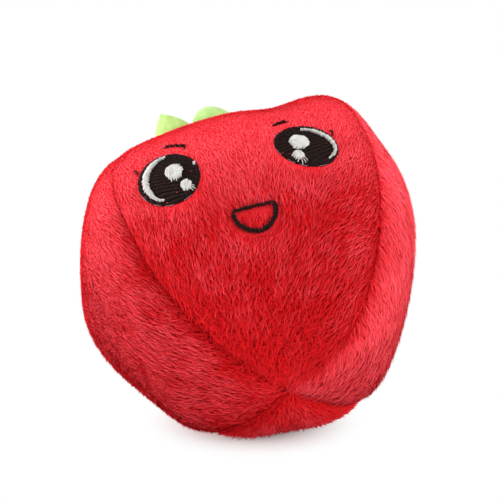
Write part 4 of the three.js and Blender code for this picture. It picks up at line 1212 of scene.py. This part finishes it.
# Half of the pouch, from the hollow inside it: way is 1 for the upper one and -1 for the lower
def pouchHalf(name, hollow, way):
    near = hemHeight + way * pouch["gap"] / 2
    far = near + way * pouch["wall"]
    rim = pouchRadius + pouch["hem"]
    grown = [(0 if r == 0 else r + pouch["wall"], z + way * pouch["wall"]) for r, z in hollow]
    profile = [*hollow, (pouchRadius, near), (rim, near), (rim, far),
               (pouchRadius + pouch["wall"], far), *grown[::-1]]
    finer, area = [], 0
    for (r0, z0), (r1, z1) in zip(profile[:-1], profile[1:]):
        length = math.hypot(r1 - r0, z1 - z0)
        area += math.pi * (r0 + r1) * length / 2
        count = max(1, round(length / pouch["cell"]))
        finer += [(r0 + (r1 - r0) * i / count, z0 + (z1 - z0) * i / count) for i in range(count)]
    piece = turned(f"{name}_cloth", [*finer, profile[-1]], "pouch_cloth",
                   segments=pouch["segments"])
    softPiece(roughened(piece, pouch["rough"], pouch["roughSize"], "pouch_cloth"), name)


pouchHalf("pouch_upper", [(0, upperTop), (squeaker["radius"] - pouch["shoulder"], upperTop),
                          (pouchRadius, upperTop - pouch["shoulder"])], 1)
pouchHalf("pouch_lower", [(0, lowerFloor), (pouch["neck"] + room, lowerFloor),
                          (pouchRadius, squeaker["floor"] - room)], -1)
turns = np.linspace(0, 2 * math.pi, 361)
rimRadius = pouchRadius + pouch["hem"] + room + seam["radius"]
sewPlied("pouch_rim_plied", "pouch_stitch", np.stack([
    rimRadius * np.cos(turns), rimRadius * np.sin(turns), np.full_like(turns, hemHeight)], -1),
    "white_thread")

for node, slotName in {"squeaker_base": "squeaker_plastic", "squeaker_cap": "squeaker_plastic",
                       "reed_plug": "reed_plastic", "reed_seat": "reed_plastic",
                       "reed_wedge": "reed_plastic", "reed_tongue": "reed_metal"}.items():
    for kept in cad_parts[node].material_slots:
        kept.material = finishes[slotName]
print("inside packed")


# Studio: a white floor that keeps the shadow, soft light and the camera

studio = {
    "elevation": 16, "distance": 650, "lens": 157.25, "aimRight": -1.17, "aimUp": 9.64,
    "worldFront": 0.05, "worldBack": 1.25, "frontAt": -0.95, "backAt": -0.1,
    "worldBehind": 0.3, "behindAt": 0.3, "clip": (0.01, 20),
    "floorSize": 6000, "floorGrey": 0.95, "floorRoughness": 0.9, "floorNear": 8, "floorFar": 34,
    # power, place and size
    "lamps": {"top": (3.0, (-20, -30, 640), 460), "left": (8.5, (-590, 0, 20), 320),
              "right": (3.0, (550, -250, 110), 400)},
}


# 1 for what the camera sees, straight, mirrored or through something clear
def seenShare(add):
    path = add("ShaderNodeLightPath").outputs
    seen = add("ShaderNodeMath", [path["Is Camera Ray"], path["Is Glossy Ray"]],
               operation="MAXIMUM")
    return add("ShaderNodeMath", [seen, path["Is Transmission Ray"]], operation="MAXIMUM")


# Painted board, matt: it keeps the shadow beside the toy and glows plain white further out
def makeFloor():
    reach = studio["floorSize"] / 2
    floor = newPiece("floor", [(-reach, -reach, 0), (reach, -reach, 0), (reach, reach, 0),
                               (-reach, reach, 0)], [(0, 1, 2, 3)])
    material, add, shader = newMaterial(
        "paintedBoard", studio["floorRoughness"], Base_Color=(*[studio["floorGrey"]] * 3, 1))
    place = add("ShaderNodeTexCoord").outputs["Object"]
    away = add("ShaderNodeVectorMath", [place], operation="LENGTH")
    fade = add("ShaderNodeMapRange", [away, studio["floorNear"] * mm, studio["floorFar"] * mm],
               interpolation_type="SMOOTHSTEP")
    share = add("ShaderNodeMath", [fade, seenShare(add)], operation="MULTIPLY")
    mixed = add("ShaderNodeMixShader", [share, shader, add("ShaderNodeEmission", [white, 1.0])])
    feed(material.node_tree.nodes["Material Output"], "Surface", mixed)
    floor.data.materials.append(material)
    floor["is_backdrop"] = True


# White to the camera; its light is weak from in front, strong from the back and weak again
# straight behind
def makeWorld():
    world = bpy.data.worlds.new("studio")
    bpy.context.scene.world = world
    world.use_nodes = True
    add = functools.partial(addNode, world.node_tree)
    way = add("ShaderNodeTexCoord").outputs["Generated"]
    back = add("ShaderNodeSeparateXYZ", [way]).outputs["Y"]
    plain = add("ShaderNodeMapRange", [back, studio["frontAt"], studio["backAt"],
                                       studio["worldFront"], studio["worldBack"]])
    plain = add("ShaderNodeMapRange", [back, studio["behindAt"], 1.0, plain, studio["worldBehind"]])
    background = world.node_tree.nodes["Background"]
    background.inputs["Color"].default_value = white
    feed(background, "Strength", add("ShaderNodeMapRange", [seenShare(add), 0.0, 1.0, plain, 1.0]))


def putInScene(name, thing, place):
    holder = bpy.data.objects.new(name, thing)
    holder.location = Vector(place) * mm
    bpy.context.scene.collection.objects.link(holder)
    return holder


def makeLamp(name, power, place, size):
    lamp = bpy.data.lights.new(name, "AREA")
    lamp.energy, lamp.size = power, size * mm
    holder = putInScene(name, lamp, place)
    aim = Vector((0, 0, body["centreHeight"] * mm)) - holder.location
    holder.rotation_euler = aim.to_track_quat("-Z", "Y").to_euler()


def makeCamera():
    camera = bpy.data.cameras.new("camera")
    camera.lens = studio["lens"]
    camera.clip_start, camera.clip_end = studio["clip"]
    rise = math.radians(studio["elevation"])
    cosine, sine = math.cos(rise), math.sin(rise)
    holder = putInScene("camera", camera, (
        studio["aimRight"], studio["aimUp"] * sine - studio["distance"] * cosine,
        body["centreHeight"] + studio["aimUp"] * cosine + studio["distance"] * sine))
    holder.rotation_euler = (math.pi / 2 - rise, 0, 0)
    bpy.context.scene.camera = holder


makeFloor()
makeWorld()
for lampName, (power, place, size) in studio["lamps"].items():
    makeLamp(lampName, power, place, size)
makeCamera()
bpy.context.scene.view_settings.view_transform = "Standard"

low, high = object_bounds()
{"cad": [list(cadLow), list(cadHigh)], "visual": [list(low), list(high)]}
print("bounds", [round(x / mm, 1) for x in (*low, *high)])
